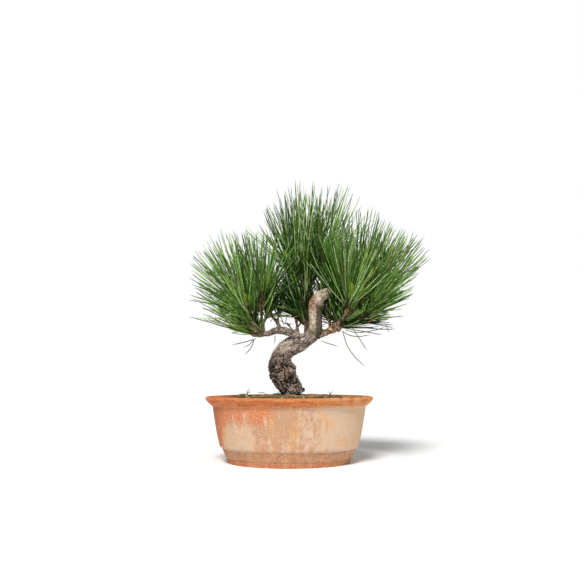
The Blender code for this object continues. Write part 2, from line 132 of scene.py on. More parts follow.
class Graph:
    """A node tree that is written as expressions."""

    def __init__(self, tree: bpy.types.NodeTree) -> None:
        """Keeps the tree."""
        self.tree = tree

    def node(self, kind: str, settings: dict | None, *values: object, out: int = 0, **named: object) -> Value:
        """Adds any node.

        Args:
            kind: The node's type.
            settings: Properties set before its sockets, with "stops" for a colour ramp's stops.
            *values: What its shown inputs are given in order, with None to leave one out.
            out: Which of the shown outputs is wanted.
            **named: What inputs are given by name, with _ for a space.

        Returns:
            The wanted output.
        """
        made = self.tree.nodes.new(kind)
        for name, setting in (settings or {}).items():
            if name == "stops":
                self._set_stops(made.color_ramp, setting)
            else:
                setattr(made, name, setting)
        inputs = [socket for socket in made.inputs if socket.enabled]
        for socket, value in zip(inputs, values):
            self.give(socket, value)
        for name, value in named.items():
            self.give(next(s for s in inputs if s.name == name.replace("_", " ")), value)
        return Value(self, [socket for socket in made.outputs if socket.enabled][out])

    def give(self, socket: bpy.types.NodeSocket, value: object) -> None:
        """Links a value to an input, or sets the input to it."""
        if isinstance(value, Value):
            self.tree.links.new(value.socket, socket)
        elif value is not None:
            socket.default_value = (*value, 1.0) if socket.type == "RGBA" else value

    @staticmethod
    def _set_stops(ramp: bpy.types.ColorRamp, stops: Sequence[tuple[float, Colour]]) -> None:
        """Puts a ramp's stops in place."""
        while len(ramp.elements) < len(stops):
            ramp.elements.new(0.5)
        for element, (position, colour) in zip(ramp.elements, stops):
            element.position = position
            element.color = (*colour, 1.0)

    def place(self) -> Value:
        """The object's own coordinates, in metres."""
        made = self.tree.nodes.new("ShaderNodeTexCoord")
        return Value(self, made.outputs["Object"])

    def axis(self, name: str) -> Value:
        """One of the object's own coordinates, in millimetres."""
        return self.node("ShaderNodeSeparateXYZ", None, self.place(), out="XYZ".index(name)) * (1 / MM)

    def noise(self, grain: float, detail: float = 3.0, stretch: Colour = (1.0, 1.0, 1.0), shift: float = 0.0,
              crispness: float = 0.5) -> Value:
        """Noise from 0 to 1.

        Args:
            grain: The size of its patches in millimetres.
            detail: How many finer layers it has.
            stretch: How much longer the patches are along each axis.
            shift: Moves the pattern, so that two noises differ.
            crispness: How strong the finer layers are.

        Returns:
            The noise.
        """
        scale = tuple(1 / (MM * grain * s) for s in stretch)
        place = (shift, shift * 2, shift * 3)
        moved = self.node("ShaderNodeMapping", None, self.place(), Scale=scale, Location=place)
        return self.node("ShaderNodeTexNoise", None, moved, Scale=1.0, Detail=detail, Roughness=crispness)

    def attribute(self, name: str) -> Value:
        """A number kept on the mesh's points."""
        return self.node("ShaderNodeAttribute", {"attribute_name": name}, out=2)

    def mix(self, share: Value | float, first: "Value | Colour", second: "Value | Colour") -> Value:
        """A colour between two, by a share."""
        return self.node("ShaderNodeMix", {"data_type": "RGBA"}, share, first, second)

    def bump(self, height: Value, distance: float, strength: float = 1.0) -> Value:
        """A normal from a height of 0 to 1 that stands for a distance in millimetres."""
        return self.node("ShaderNodeBump", None, Strength=strength, Distance=distance * MM, Height=height)


# Finishes


class Finish:
    """A finish by name, whose recipe becomes a Principled material."""

    name: str

    def recipe(self, g: Graph) -> dict[str, object]:
        """What each socket of the shader gets, by the socket's name."""
        raise NotImplementedError

    def material(self) -> bpy.types.Material:
        """The finish as a material."""
        material = bpy.data.materials.new(self.name)
        material.use_nodes = True
        graph = Graph(material.node_tree)
        shader = material.node_tree.nodes["Principled BSDF"]
        for socket, value in self.recipe(graph).items():
            graph.give(shader.inputs[socket], value)
        return material


@dataclass(frozen=True)
class TerracottaFinish(Finish):
    """Old terracotta: orange clay under a pale lime bloom, with an orange lip, a few stains and a painted
    shadow line.
    """

    name: ClassVar[str] = "terracotta"
    clay: Colour = (0.570, 0.190, 0.072)
    orange: Colour = (0.620, 0.210, 0.062)
    deep_clay: Colour = (0.440, 0.105, 0.030)
    bloom: Colour = (0.480, 0.262, 0.148)
    chalk: Colour = (0.585, 0.430, 0.305)
    honey: Colour = (0.640, 0.330, 0.120)
    # darker colour for patches just under the band's top
    band_dark: Colour = (0.325, 0.145, 0.070)
    # dark specks, and the painted shadow line under the body's lower edge
    speck_and_shadow: Colour = (0.130, 0.085, 0.055)
    algae: Colour = (0.240, 0.195, 0.070)
    lip_foot: float = 79.5
    band_top: float = 20.5
    foot_top: float = 7.2

    def recipe(self, g: Graph) -> dict[str, object]:
        """Clay under a bloom, then the lip, the band's painted shadow line and pale line, the foot and the
        stains.
        """
        x, z = g.axis("X"), g.axis("Z")
        cloud, patch = g.noise(30, 7, crispness=0.62), g.noise(11, 6, shift=7.0, crispness=0.65)
        fine, grain = g.noise(2.4, 5, shift=3.0, crispness=0.7), g.noise(0.8, 4, shift=2.0)
        streak = g.noise(7, 5, (1.0, 1.0, 4.5), shift=5.0, crispness=0.6)
        mottle = cloud * 0.55 + patch * 0.25 + streak * 0.2
        left, upper = x.ramp(-82.0, -101.0), z.ramp(46.0, 74.0) * x.ramp(20.0, -60.0)
        bare = (mottle * 1.7 + left * 0.6 + upper * 0.42 + fine * 0.3 - x * 0.0005).ramp(1.04, 1.26)
        body = g.mix(bare, self.bloom, self.clay)
        stain = x.ramp(-84.0, -103.0) * (patch + fine * 0.5).ramp(0.35, 0.75)
        under = z.ramp(self.band_top, self.band_top - 3.0)
        pool = z.ramp(66.0, 34.0) * x.ramp(-25.0, -60.0) * 0.34 - under * 0.4
        white = streak * 0.9 + patch * 0.6 + fine * 0.3 + x.ramp(-20.0, 95.0) * 0.36 + pool - left * 0.5
        body = g.mix(white.ramp(0.90, 1.16) * 0.95, body, self.chalk)
        warm = (g.noise(15, 6, (1.0, 1.0, 1.8), shift=13.0, crispness=0.62) + fine * 0.2).ramp(0.56, 0.76)
        body = g.mix(warm * 0.55, body, self.honey)
        body = g.mix(stain * 0.85, body, self.deep_clay)
        drawn = g.noise(4.0, 5, (6.0, 6.0, 1.0), shift=15.0, crispness=0.6)
        lip = g.mix((patch * 0.5 + drawn * 0.8 + fine * 0.3).ramp(0.64, 0.96), self.deep_clay, self.orange)
        lip = g.mix(x.ramp(10.0, 115.0) * (patch + 0.4).ramp(0.7, 1.0) * 0.8, lip, self.honey)
        lip = g.mix((streak * 0.7 + fine * 0.5).ramp(0.66, 0.86) * 0.3, lip, self.chalk)
        edge = z + (patch - 0.5) * 9.0
        colour = g.mix(edge.ramp(self.lip_foot - 2.0, self.lip_foot + 1.5), body, lip)
        # darker in patches just under the band's top
        low = z.ramp(self.band_top + 2.5, self.band_top - 4.0)
        colour = g.mix(low * (patch * 0.8 + streak * 0.6).ramp(0.5, 0.9) * 0.8, colour, self.band_dark)
        # painted shadow: a dark line just under the body's overhanging lower edge
        line = abs(z - self.band_top + 1.2 + (fine - 0.5) * 2.0).ramp(1.6, 0.3)
        colour = g.mix(line * (cloud + patch).ramp(0.8, 1.25) * 0.55, colour, self.speck_and_shadow)
        ledge = abs(z - self.band_top - 2.5 + (fine - 0.5) * 3.0).ramp(2.6, 0.8)
        colour = g.mix(ledge * (streak + patch).ramp(0.8, 1.1) * 0.6, colour, self.chalk)
        foot = z.ramp(self.foot_top + 1.0, self.foot_top - 1.5) * (patch + fine * 0.4).ramp(0.4, 0.8)
        colour = g.mix(foot * 0.75, colour, self.deep_clay)
        sand = fine * 0.7 + grain * 0.5
        dust = sand.ramp(0.60, 0.72) * z.ramp(84.0, 78.0).ramp(-0.6, 1.0) * 0.6
        colour = g.mix(dust, colour, self.chalk)
        colour = g.mix(sand.ramp(0.56, 0.44) * 0.45, colour, self.deep_clay)
        speck = g.noise(3.4, 1, shift=11.0).ramp(0.735, 0.775) * 0.8
        colour = g.mix(speck, colour, self.speck_and_shadow)
        wet = x.ramp(44.0, 70.0) * z.ramp(17.0, 4.0) * (patch + fine * 0.3).ramp(0.5, 0.75) * 0.4
        colour = g.mix(wet, colour, self.algae)
        rings = g.noise(2.6, 3, (30.0, 30.0, 1.0), shift=9.0)
        height = grain * 0.4 + fine * 0.6 + rings * 0.45 + patch * 0.4
        return {
            "Base Color": colour,
            "Roughness": fine * 0.2 + 0.76,
            "Normal": g.bump(height, 0.8, 0.8),
            "Specular IOR Level": 0.3,
        }


@dataclass(frozen=True)
class BarkFinish(Finish):
    """Pine bark, by the relief's own marks: plates that vary, older below, and cracks of dark bark and painted
    shade.
    """

    name: ClassVar[str] = "bark"
    # the cracks' colour: partly the bark's own dark and partly painted shade in the recesses
    crack: Colour = (0.013, 0.009, 0.007)
    old_plate: Colour = (0.100, 0.070, 0.052)
    old_pale: Colour = (0.44, 0.345, 0.275)
    rust: Colour = (0.25, 0.105, 0.058)
    young_plate: Colour = (0.20, 0.150, 0.115)
    young_pale: Colour = (0.52, 0.420, 0.335)
    amber: Colour = (0.70, 0.46, 0.25)

    def recipe(self, g: Graph) -> dict[str, object]:
        """Plates by age and tint, rusty flakes, and cracks darkened by their own colour and by painted shade.
        """
        tint, age, open_crack = g.attribute("tint"), g.attribute("age"), g.attribute("crack")
        fleck, fine = g.noise(2.4, 4, shift=4.0), g.noise(0.8, 4)
        dapple = tint * 0.6 + fleck * 0.7 + fine * 0.2
        old = g.mix(dapple.ramp(0.55, 1.15), self.old_plate, self.old_pale)
        rusty = g.noise(9, 3, shift=8.0).ramp(0.55, 0.66) * tint.ramp(0.25, 0.6)
        old = g.mix(rusty * 0.7, old, self.rust)
        young = g.mix(dapple.ramp(0.45, 1.0), self.young_plate, self.young_pale)
        plate = g.mix(age, young, old)
        plate = g.mix(g.attribute("amber") * (fleck * 0.5 + 0.6), plate, g.mix(tint, self.rust, self.amber))
        # cracks painted dark: partly the bark's own colour, partly painted shade
        colour = g.mix((open_crack * (0.72 + 0.28 * age)).ramp(0.0, 1.0), plate, self.crack)
        return {
            "Base Color": colour,
            "Roughness": fine * 0.15 + 0.8,
            "Normal": g.bump(fine * 0.6 + fleck * 0.5, 0.4, 0.8),
        }


@dataclass(frozen=True)
class GreyWoodFinish(Finish):
    """The cut leader's thin bark: pale and pinkish, with painted shade on its right side and foot, and flaky
    rusty patches.
    """

    name: ClassVar[str] = "grey_wood"
    pale: Colour = (0.58, 0.46, 0.31)
    ash: Colour = (0.80, 0.68, 0.54)
    # near-black greenish brown: painted shade on the leader's right side and towards its foot
    olive: Colour = (0.045, 0.034, 0.016)
    moss: Colour = (0.26, 0.22, 0.10)
    rust: Colour = (0.36, 0.145, 0.085)
    # the cracks' colour: partly the bark's own dark and partly painted shade
    crack: Colour = (0.075, 0.05, 0.03)
    bend_height: float = 226.0

    def recipe(self, g: Graph) -> dict[str, object]:
        """Pale bark and ash, painted shade on the right side and low down, moss, rust round the bend, and fine
        cracks.
        """
        tint, open_crack = g.attribute("tint"), g.attribute("crack")
        fleck, fine, x, z = g.noise(3.0, 4, shift=6.0), g.noise(0.9, 4), g.axis("X"), g.axis("Z")
        colour = g.mix((fleck * 0.7 + tint * 0.5).ramp(0.4, 0.85), self.pale, self.ash)
        # painted shade down the leader's right side
        shade = (x - 31.0 + (fleck - 0.5) * 6.0).ramp(5.6, 8.6) * z.ramp(230.0, 216.0)
        colour = g.mix(shade * 0.92, colour, self.olive)
        colour = g.mix(fleck.ramp(0.56, 0.68) * z.ramp(238.0, 216.0) * 0.6, colour, self.moss)
        # painted shade low on the leader, towards its foot
        colour = g.mix((z + (fleck - 0.5) * 14.0).ramp(195.0, 181.0) * 0.8, colour, self.olive)
        near_bend = abs(z - self.bend_height).ramp(16.0, 5.0) * x.ramp(42.0, 34.0)
        colour = g.mix(near_bend * fleck.ramp(0.34, 0.50) * 0.95, colour, self.rust)
        # cracks painted dark: partly their own colour, partly painted shade
        colour = g.mix(open_crack * 0.75, colour, self.crack)
        return {
            "Base Color": colour,
            "Roughness": fine * 0.15 + 0.75,
            "Normal": g.bump(fine * 0.6 + fleck * 0.4, 0.35, 0.7),
        }


@dataclass(frozen=True)
class TwigFinish(Finish):
    """Young shoots: amber scales with pale tips and dark gaps, partly painted shade, and paler buds."""

    name: ClassVar[str] = "twig"
    scale: Colour = (0.20, 0.105, 0.045)
    pale: Colour = (0.56, 0.40, 0.22)
    # the gaps between scales: partly their own dark and partly painted shade
    gap: Colour = (0.030, 0.016, 0.008)
    bud: Colour = (0.24, 0.125, 0.05)

    def recipe(self, g: Graph) -> dict[str, object]:
        """Scales that vary, with dark gaps, partly their own colour and partly painted shade."""
        tint, fine = g.attribute("tint"), g.noise(1.1, 3)
        colour = g.mix((tint * 0.7 + fine * 0.5).ramp(0.35, 0.95), self.scale, self.pale)
        colour = g.mix(g.attribute("amber") * 0.7, colour, self.bud)
        # gaps painted dark: partly their own colour, partly painted shade
        colour = g.mix(g.attribute("crack") * 0.85, colour, self.gap)
        return {"Base Color": colour, "Roughness": fine * 0.2 + 0.6, "Normal": g.bump(fine, 0.2, 0.6)}


@dataclass(frozen=True)
class PlainGrowthFinish(Finish):
    """Needles, moss or grains: a colour of their own, a little lighter and darker from place to place."""

    name: str
    colour: Colour
    roughness: float = 0.5
    swing: float = 0.35
    patch: float = 14.0
    gloss: float = 0.25

    def recipe(self, g: Graph) -> dict[str, object]:
        """The colour, between a darker and a lighter shade of itself."""
        low = tuple(c * (1 - self.swing) for c in self.colour)
        high = tuple(c * (1 + self.swing) for c in self.colour)
        coarse, fine = g.noise(self.patch, 2), g.noise(self.patch * 0.22, 1, shift=4.0)
        share = (coarse * 0.6 + fine * 0.4).ramp(0.34, 0.66)
        return {
            "Base Color": g.mix(share, low, high),
            "Roughness": share * 0.1 + self.roughness,
            "Specular IOR Level": self.gloss,
        }


@dataclass(frozen=True)
class SoilFinish(Finish):
    """Damp bonsai soil under its loose grains."""

    name: ClassVar[str] = "soil"
    dark: Colour = (0.045, 0.030, 0.020)
    light: Colour = (0.155, 0.105, 0.062)
    moss: Colour = (0.075, 0.085, 0.020)

    def recipe(self, g: Graph) -> dict[str, object]:
        """Crumbs, greener where moss grows."""
        crumb, fine = g.noise(3.0, 5), g.noise(0.9, 4, shift=3.0)
        colour = g.mix((crumb * 0.6 + fine * 0.5).ramp(0.35, 0.8), self.dark, self.light)
        colour = g.mix(g.attribute("moss") * 0.75, colour, self.moss)
        return {
            "Base Color": colour,
            "Roughness": fine * 0.1 + 0.88,
            "Normal": g.bump(crumb + fine, 1.2, 0.9),
        }


@dataclass(frozen=True)
class FloorFinish(Finish):
    """A plain pale floor."""

    name: ClassVar[str] = "floor"
    colour: Colour = (0.93, 0.93, 0.925)

    def recipe(self, g: Graph) -> dict[str, object]:
        """The colour, hardly varied."""
        darker = tuple(c * 0.985 for c in self.colour)
        return {"Base Color": g.mix(g.noise(90.0, 2), darker, self.colour), "Roughness": 0.75}


# Shapes


def unit(vector: np.ndarray) -> np.ndarray:
    """The vector, or each row of it, at a length of one."""
    return vector / np.linalg.norm(vector, axis=-1, keepdims=True)


def square_to(axis: np.ndarray) -> tuple[np.ndarray, np.ndarray]:
    """Two unit vectors square to a unit vector and to each other."""
    helper = UP if abs(axis[2]) < 0.9 else np.array([1.0, 0.0, 0.0])
    side = unit(np.cross(axis, helper))
    return side, np.cross(axis, side)


def smooth_path(points: Sequence[Sequence[float]], spacing: float) -> np.ndarray:
    """Points at an even spacing on a Catmull-Rom curve.

    Args:
        points: The points it runs through, each as x, y, z and radius.
        spacing: How far apart the new points are, about.

    Returns:
        The new points as rows.
    """
    rows = np.array(points, float)
    ends = np.vstack([2 * rows[0] - rows[1], rows, 2 * rows[-1] - rows[-2]])
    path = [rows[0]]
    for p0, p1, p2, p3 in zip(ends[:-3], ends[1:-2], ends[2:-1], ends[3:]):
        steps = max(1, round(np.linalg.norm(p2[:3] - p1[:3]) / spacing))
        for step in range(1, steps + 1):
            t = step / steps
            path.append(0.5 * (
                2 * p1 + (p2 - p0) * t + (2 * p0 - 5 * p1 + 4 * p2 - p3) * t**2
                + (3 * p1 - p0 - 3 * p2 + p3) * t**3
            ))
    return np.array(path)


def smoothstep(low: float, high: float, value: np.ndarray) -> np.ndarray:
    """A smooth climb from 0 at low to 1 at high, or a fall where high is the smaller."""
    t = np.clip((value - low) / (high - low), 0, 1)
    return t * t * (3 - 2 * t)


class Noise:
    """Seeded noise over points, from a table of random numbers."""

    SIZE = 4096
    MIXERS = (73856093, 19349663, 83492791, 40503)  # large odd numbers, which part neighbouring cells

    def __init__(self, seed: int) -> None:
        """Fills the table."""
        self.table = np.random.default_rng(seed).random(self.SIZE)

    def _at(self, cells: np.ndarray, salt: int = 0) -> np.ndarray:
        """The random number of each lattice cell."""
        first, second, third, last = self.MIXERS
        mixed = cells[..., 0] * first ^ cells[..., 1] * second ^ cells[..., 2] * third ^ salt * last
        return self.table[(mixed ^ mixed >> 11) % self.SIZE]

    def smooth(self, points: np.ndarray, size: float) -> np.ndarray:
        """Smooth noise from 0 to 1 with patches of a size."""
        scaled = points / size
        low = np.floor(scaled).astype(np.int64)
        t = scaled - low
        t = t * t * (3 - 2 * t)
        total = np.zeros(len(points))
        for corner in np.ndindex(2, 2, 2):
            weight = np.prod(np.where(np.array(corner), t, 1 - t), axis=1)
            total += weight * self._at(low + np.array(corner))
        return total

    def layered(self, points: np.ndarray, size: float, layers: int = 3) -> np.ndarray:
        """Smooth noise with finer and weaker layers on it."""
        total, weight = np.zeros(len(points)), 0.0
        for layer in range(layers):
            share = 0.5**layer
            total += share * self.smooth(points + 17.3 * layer, size * share)
            weight += share
        return total / weight

    def cells(self, across: np.ndarray, along: np.ndarray,
              count: np.ndarray) -> tuple[np.ndarray, np.ndarray]:
        """Irregular cells on a strip that closes on itself.

        Args:
            across: Place round the strip, in cells.
            along: Place along the strip, in cells.
            count: How many cells go round, by point.

        Returns:
            How near the edge between two cells each point is, from 0 on it, and its cell's own number.
        """
        base = np.stack([np.floor(across), np.floor(along)], axis=1).astype(np.int64)
        nearest = np.full(len(across), np.inf)
        second, own = nearest.copy(), np.zeros(len(across))
        for shift in np.ndindex(3, 3):
            cell = base + np.array(shift) - 1
            wrapped = np.stack([cell[:, 0] % count, cell[:, 1], count], axis=1)
            away = np.hypot(
                across - cell[:, 0] - self._at(wrapped, 1), along - cell[:, 1] - self._at(wrapped, 2)
            )
            closer = away < nearest
            second = np.where(closer, nearest, np.minimum(second, away))
            own = np.where(closer, self._at(wrapped, 3), own)
            nearest = np.minimum(nearest, away)
        return second - nearest, own


def mesh_object(name: str, points: np.ndarray, faces: Sequence[Sequence[int]] = (),
                edges: object = ()) -> bpy.types.Object:
    """An object in the scene from points in millimetres.

    Args:
        name: The object's name.
        points: Its points as rows.
        faces: Its faces as point numbers.
        edges: Its loose edges as pairs of point numbers.

    Returns:
        The object.
    """
    mesh = bpy.data.meshes.new(name)
    mesh.from_pydata((np.asarray(points) * MM).tolist(), np.asarray(edges).tolist(), list(faces))
    mesh.update()
    obj = bpy.data.objects.new(name, mesh)
    bpy.context.scene.collection.objects.link(obj)
    return obj


def stacked(rings: Sequence[np.ndarray], closed: bool = True) -> tuple[np.ndarray, list[tuple[int, ...]]]:
    """Points and faces that join equal rings of points in order, with a face over each end if closed."""
    count = len(rings[0])
    faces = []
    for level in range(len(rings) - 1):
        low, high = level * count, (level + 1) * count
        for i in range(count):
            j = (i + 1) % count
            faces.append((low + i, low + j, high + j, high + i))
    if closed:
        last = (len(rings) - 1) * count
        faces += [tuple(reversed(range(count))), tuple(range(last, last + count))]
    return np.concatenate(rings), faces


def oval(half_width: float, height: float, sides: int) -> np.ndarray:
    """One level ring of the pot's plan, as rows."""
    angles = 2 * math.pi * np.arange(sides) / sides
    x, y = half_width * np.cos(angles), half_width * PLAN_RATIO * np.sin(angles)
    return np.stack([x, y, np.full(sides, height)], axis=1)


def set_attribute(obj: bpy.types.Object, name: str, values: np.ndarray) -> None:
    """Keeps a number on each point of a mesh."""
    obj.data.attributes.new(name, "FLOAT", "POINT").data.foreach_set("value", np.asarray(values, np.float32))


def points_of(obj: bpy.types.Object) -> np.ndarray:
    """A mesh's points in millimetres, as rows."""
    flat = np.empty(len(obj.data.vertices) * 3, np.float32)
    obj.data.vertices.foreach_get("co", flat)
    return flat.reshape(-1, 3).astype(float) / MM


def normals_of(obj: bpy.types.Object) -> np.ndarray:
    """The outward direction at each point of a mesh."""
    flat = np.empty(len(obj.data.vertices) * 3, np.float32)
    obj.data.vertex_normals.foreach_get("vector", flat)
    return flat.reshape(-1, 3).astype(float)


def move_points(obj: bpy.types.Object, points: np.ndarray) -> None:
    """Puts a mesh's points at new places in millimetres."""
    obj.data.vertices.foreach_set("co", (points * MM).astype(np.float32).ravel())
    obj.data.update()


def settle(obj: bpy.types.Object) -> bpy.types.Object:
    """Works out an object's modifiers into its mesh and takes them off."""
    graph = bpy.context.evaluated_depsgraph_get()
    made = bpy.data.meshes.new_from_object(obj.evaluated_get(graph))
    obj.modifiers.clear()
    old, obj.data = obj.data, made
    bpy.data.meshes.remove(old)
    return obj


def finished(
    obj: bpy.types.Object,
    material: bpy.types.Material,
    slot: str,
    replaced: Sequence[str] = (),
    smooth: float | None = 60.0,
) -> bpy.types.Object:
    """Dresses a piece and says what it is part of.

    Args:
        obj: The piece.
        material: Its finish.
        slot: Not used.
        replaced: The CAD nodes that it stands for.
        smooth: Edges flatter than this angle in degrees are shaded smooth; None keeps them all sharp.

    Returns:
        The piece.
    """
    obj.data.materials.clear()
    obj.data.materials.append(material)
    if smooth is None:
        obj.data.shade_flat()
    else:
        obj.data.shade_smooth()
        obj.data.set_sharp_from_angle(angle=math.radians(smooth))
    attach(obj, "root")
    if replaced:
        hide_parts(*replaced)
    obj.data.calc_loop_triangles()
    LOG.info("%s: %d triangles", obj.name, len(obj.data.loop_triangles))
    return obj


class NodeRule:
    """A geometry nodes tree with named inputs, run once on an object."""

    def __init__(self, name: str, sizes: dict[str, str]) -> None:
        """Makes the tree's sockets.

        Args:
            name: The tree's name.
            sizes: Each input's name and its kind of socket, such as Float.
        """
        self.tree = bpy.data.node_groups.new(name, "GeometryNodeTree")
        self.graph = Graph(self.tree)
        self.tree.interface.new_socket(name="Geometry", in_out="INPUT", socket_type="NodeSocketGeometry")
        self.keys = {}
        for size, kind in sizes.items():
            made = self.tree.interface.new_socket(name=size, in_out="INPUT", socket_type="NodeSocket" + kind)
            self.keys[size] = made.identifier
        self.tree.interface.new_socket(name="Geometry", in_out="OUTPUT", socket_type="NodeSocketGeometry")
        entry = self.tree.nodes.new("NodeGroupInput")
        self.given = {socket.name: Value(self.graph, socket) for socket in entry.outputs if socket.name}

    def close(self, geometry: Value) -> "NodeRule":
        """Ends the tree in real meshes that carry the material input."""
        real = self.graph.node("GeometryNodeRealizeInstances", None, geometry)
        dressed = self.graph.node("GeometryNodeSetMaterial", None, real, Material=self.given["Material"])
        end = self.tree.nodes.new("NodeGroupOutput")
        self.tree.links.new(dressed.socket, end.inputs[0])
        return self

    def run(self, obj: bpy.types.Object, **sizes: object) -> bpy.types.Object:
        """Replaces an object's mesh by what the tree makes of it.

        Args:
            obj: The object.
            **sizes: The inputs by name, with _ for a space.

        Returns:
            The object, without a modifier.
        """
        modifier = obj.modifiers.new("rule", "NODES")
        modifier.node_group = self.tree
        for name, value in sizes.items():
            modifier[self.keys[name.replace("_", " ")]] = value
        return settle(obj)


def sweep_rule() -> NodeRule:
    """A tree that sweeps a round profile along each chain of edges, at the half width kept on its points."""
    rule = NodeRule("sweep", {"Sides": "Int", "Width": "Float", "Material": "Material"})
    g, given = rule.graph, rule.given
    half_width = g.node("GeometryNodeInputNamedAttribute", {"data_type": "FLOAT"}, "half_width")
    curve = g.node("GeometryNodeMeshToCurve", None, given["Geometry"])
    profile = g.node("GeometryNodeCurvePrimitiveCircle", None, given["Sides"], Radius=1.0)
    tube = g.node("GeometryNodeCurveToMesh", None, curve, profile, half_width * given["Width"], True)
    return rule.close(tube)


def scatter_rule(kind: str) -> NodeRule:
    """A tree that strews small shapes over a surface, more where its cover is high.

    Args:
        kind: "grain" for pebbles that lie anyhow, "tuft" for blades that stand up.

    Returns:
        The tree.
    """
    rule = NodeRule(kind, {
        "Density": "Float", "Smallest": "Float", "Largest": "Float", "Seed": "Int", "Material": "Material",
    })
    g, given = rule.graph, rule.given
    cover = g.node("GeometryNodeInputNamedAttribute", {"data_type": "FLOAT"}, "cover")
    spread = {"distribute_method": "RANDOM"}
    points = g.node("GeometryNodeDistributePointsOnFaces", spread, given["Geometry"],
                    Density=cover * given["Density"], Seed=given["Seed"])
    normal = Value(g, points.socket.node.outputs["Normal"])
    least, most = given["Smallest"], given["Largest"]
    size = g.node("FunctionNodeRandomValue", {"data_type": "FLOAT"}, least, most, Seed=3)
    tumble = {"data_type": "FLOAT_VECTOR"}
    if kind == "grain":
        ball = g.node("GeometryNodeMeshIcoSphere", None, 1.0, 1)
        dent = g.node("FunctionNodeRandomValue", tumble, (-0.22,) * 3, (0.22,) * 3, Seed=5)
        shape = g.node("GeometryNodeSetPosition", None, ball, Offset=dent)
        turn = g.node("FunctionNodeRandomValue", tumble, (0.0,) * 3, (2 * math.pi,) * 3, Seed=7)
        spin = g.node("FunctionNodeEulerToRotation", None, turn)
        squash = g.node("FunctionNodeRandomValue", tumble, (0.7,) * 3, (1.1,) * 3, Seed=9)
    else:
        shape = g.node("GeometryNodeMeshCone", {"fill_type": "NONE"}, 3, 1, 1, 0.02, 0.2, 1.0)
        lean = g.node("FunctionNodeRandomValue", tumble, (-0.75, -0.75, -0.1), (0.75, 0.75, 0.3), Seed=5)
        heading = g.node("ShaderNodeVectorMath", {"operation": "ADD"}, normal, lean)
        spin = g.node("FunctionNodeAlignRotationToVector", {"axis": "Z"}, Vector=heading)
        squash = g.node("FunctionNodeRandomValue", tumble, (0.8, 0.8, 0.7), (1.2, 1.2, 1.3), Seed=9)
    scale = g.node("ShaderNodeVectorMath", {"operation": "SCALE"}, squash, Scale=size)
    strewn = g.node("GeometryNodeInstanceOnPoints", None, points, Instance=shape, Rotation=spin, Scale=scale)
    return rule.close(strewn)


def chains(name: str, paths: Sequence[np.ndarray]) -> bpy.types.Object:
    """An object of open chains of edges, with the half width on each point.

    Args:
        name: The object's name.
        paths: Each chain's points as x, y, z and half width.

    Returns:
        The object.
    """
    starts = np.cumsum([0] + [len(path) for path in paths])
    edges = np.concatenate([
        np.stack([np.arange(a, b - 1), np.arange(a + 1, b)], axis=1) for a, b in zip(starts[:-1], starts[1:])
    ])
    rows = np.concatenate(paths)
    obj = mesh_object(name, rows[:, :3], edges=edges)
    set_attribute(obj, "half_width", rows[:, 3] * MM)
    return obj


# The photograph's view


@dataclass(frozen=True)
class View:
    """Where the photograph was taken from, in millimetres and radians, for a picture of 584 x 584."""

    x: float = 3.9
    distance: float = 875.5
    height: float = 122.0
    pitch: float = 0.135
    focal: float = 605.9
    frame: float = 584.0
    sensor: float = 36.0

    def camera(self) -> bpy.types.Object:
        """Makes the scene's camera."""
        data = bpy.data.cameras.new("camera")
        data.sensor_width = self.sensor
        data.lens = self.sensor * self.focal / self.frame
        data.clip_start, data.clip_end = 0.01, 100.0
        camera = bpy.data.objects.new("camera", data)
        camera.location = (self.x * MM, -self.distance * MM, self.height * MM)
        camera.rotation_euler = (math.pi / 2 + self.pitch, 0.0, 0.0)
        bpy.context.scene.collection.objects.link(camera)
        bpy.context.scene.camera = camera
        return camera

    def place(self, across: float, down: float, y: float) -> np.ndarray:
        """The point at a depth y that shows at a place in the picture."""
        sine, cosine = math.sin(self.pitch), math.cos(self.pitch)
        forward, right, up = np.array([[0.0, cosine, sine], [1.0, 0.0, 0.0], [0.0, -sine, cosine]])
        middle = self.frame / 2
        ray = forward + (across - middle) / self.focal * right + (middle - down) / self.focal * up
        start = np.array([self.x, -self.distance, self.height])
        return start + (y + self.distance) / ray[1] * ray


VIEW = View()


# The tree's own layout, as in the part's source


@dataclass(frozen=True)
class Limb:
    """One tapering limb, as (x, y, z, radius) along its middle."""

    name: str
    points: tuple[tuple[float, float, float, float], ...]

    def tip(self) -> tuple[np.ndarray, np.ndarray]:
        """The limb's tip and its heading there."""
        path = smooth_path(self.points, 6.0)[:, :3]
        return path[-1], unit(path[-1] - path[-2])


@dataclass(frozen=True)
class Mass:
    """One mass of foliage: a stem off a limb's tip, shoots that fan from it, and needles along them."""

    name: str
    limb: str
    turn: float
    rise: float
    shoots: int
    spread: float
    candle: float
    wide: float
    tight: float
    needle: float
    seed: int
    count: int
    stem: float = 4.0


TRUNK = Limb("trunk", (
    (6.5, 0, 92.7, 18.6), (4.5, 0, 98, 16.3), (1, 0, 106, 16.6), (-5.4, -1, 114.5, 18.3),
    (-9.8, -2, 125.3, 20), (-11.9, -3, 134.5, 18.4), (-12.2, -3, 142, 16), (-10.5, -3, 149, 14.6),
    (-4.5, -2, 156.5, 14.2), (4.5, 0, 161.7, 14.4), (12.5, 2, 165.6, 13.2), (20.8, 3, 169.6, 11.4),
    (30.5, 3, 174.6, 10), (36, 3, 178, 9),
))

CUT_LEADER = Limb("cut_leader", (
    (35.5, 3, 174, 8.2), (36.5, 3, 183, 7.6), (36.6, 2, 193, 6.7), (36.2, 1, 206, 6.8),
    (36.8, 0, 217.5, 7), (39.6, -1, 227, 7), (43.5, -1.5, 233, 6.4), (50, -2, 236.8, 5.2),
    (59.8, -3, 240.9, 4.2),
))

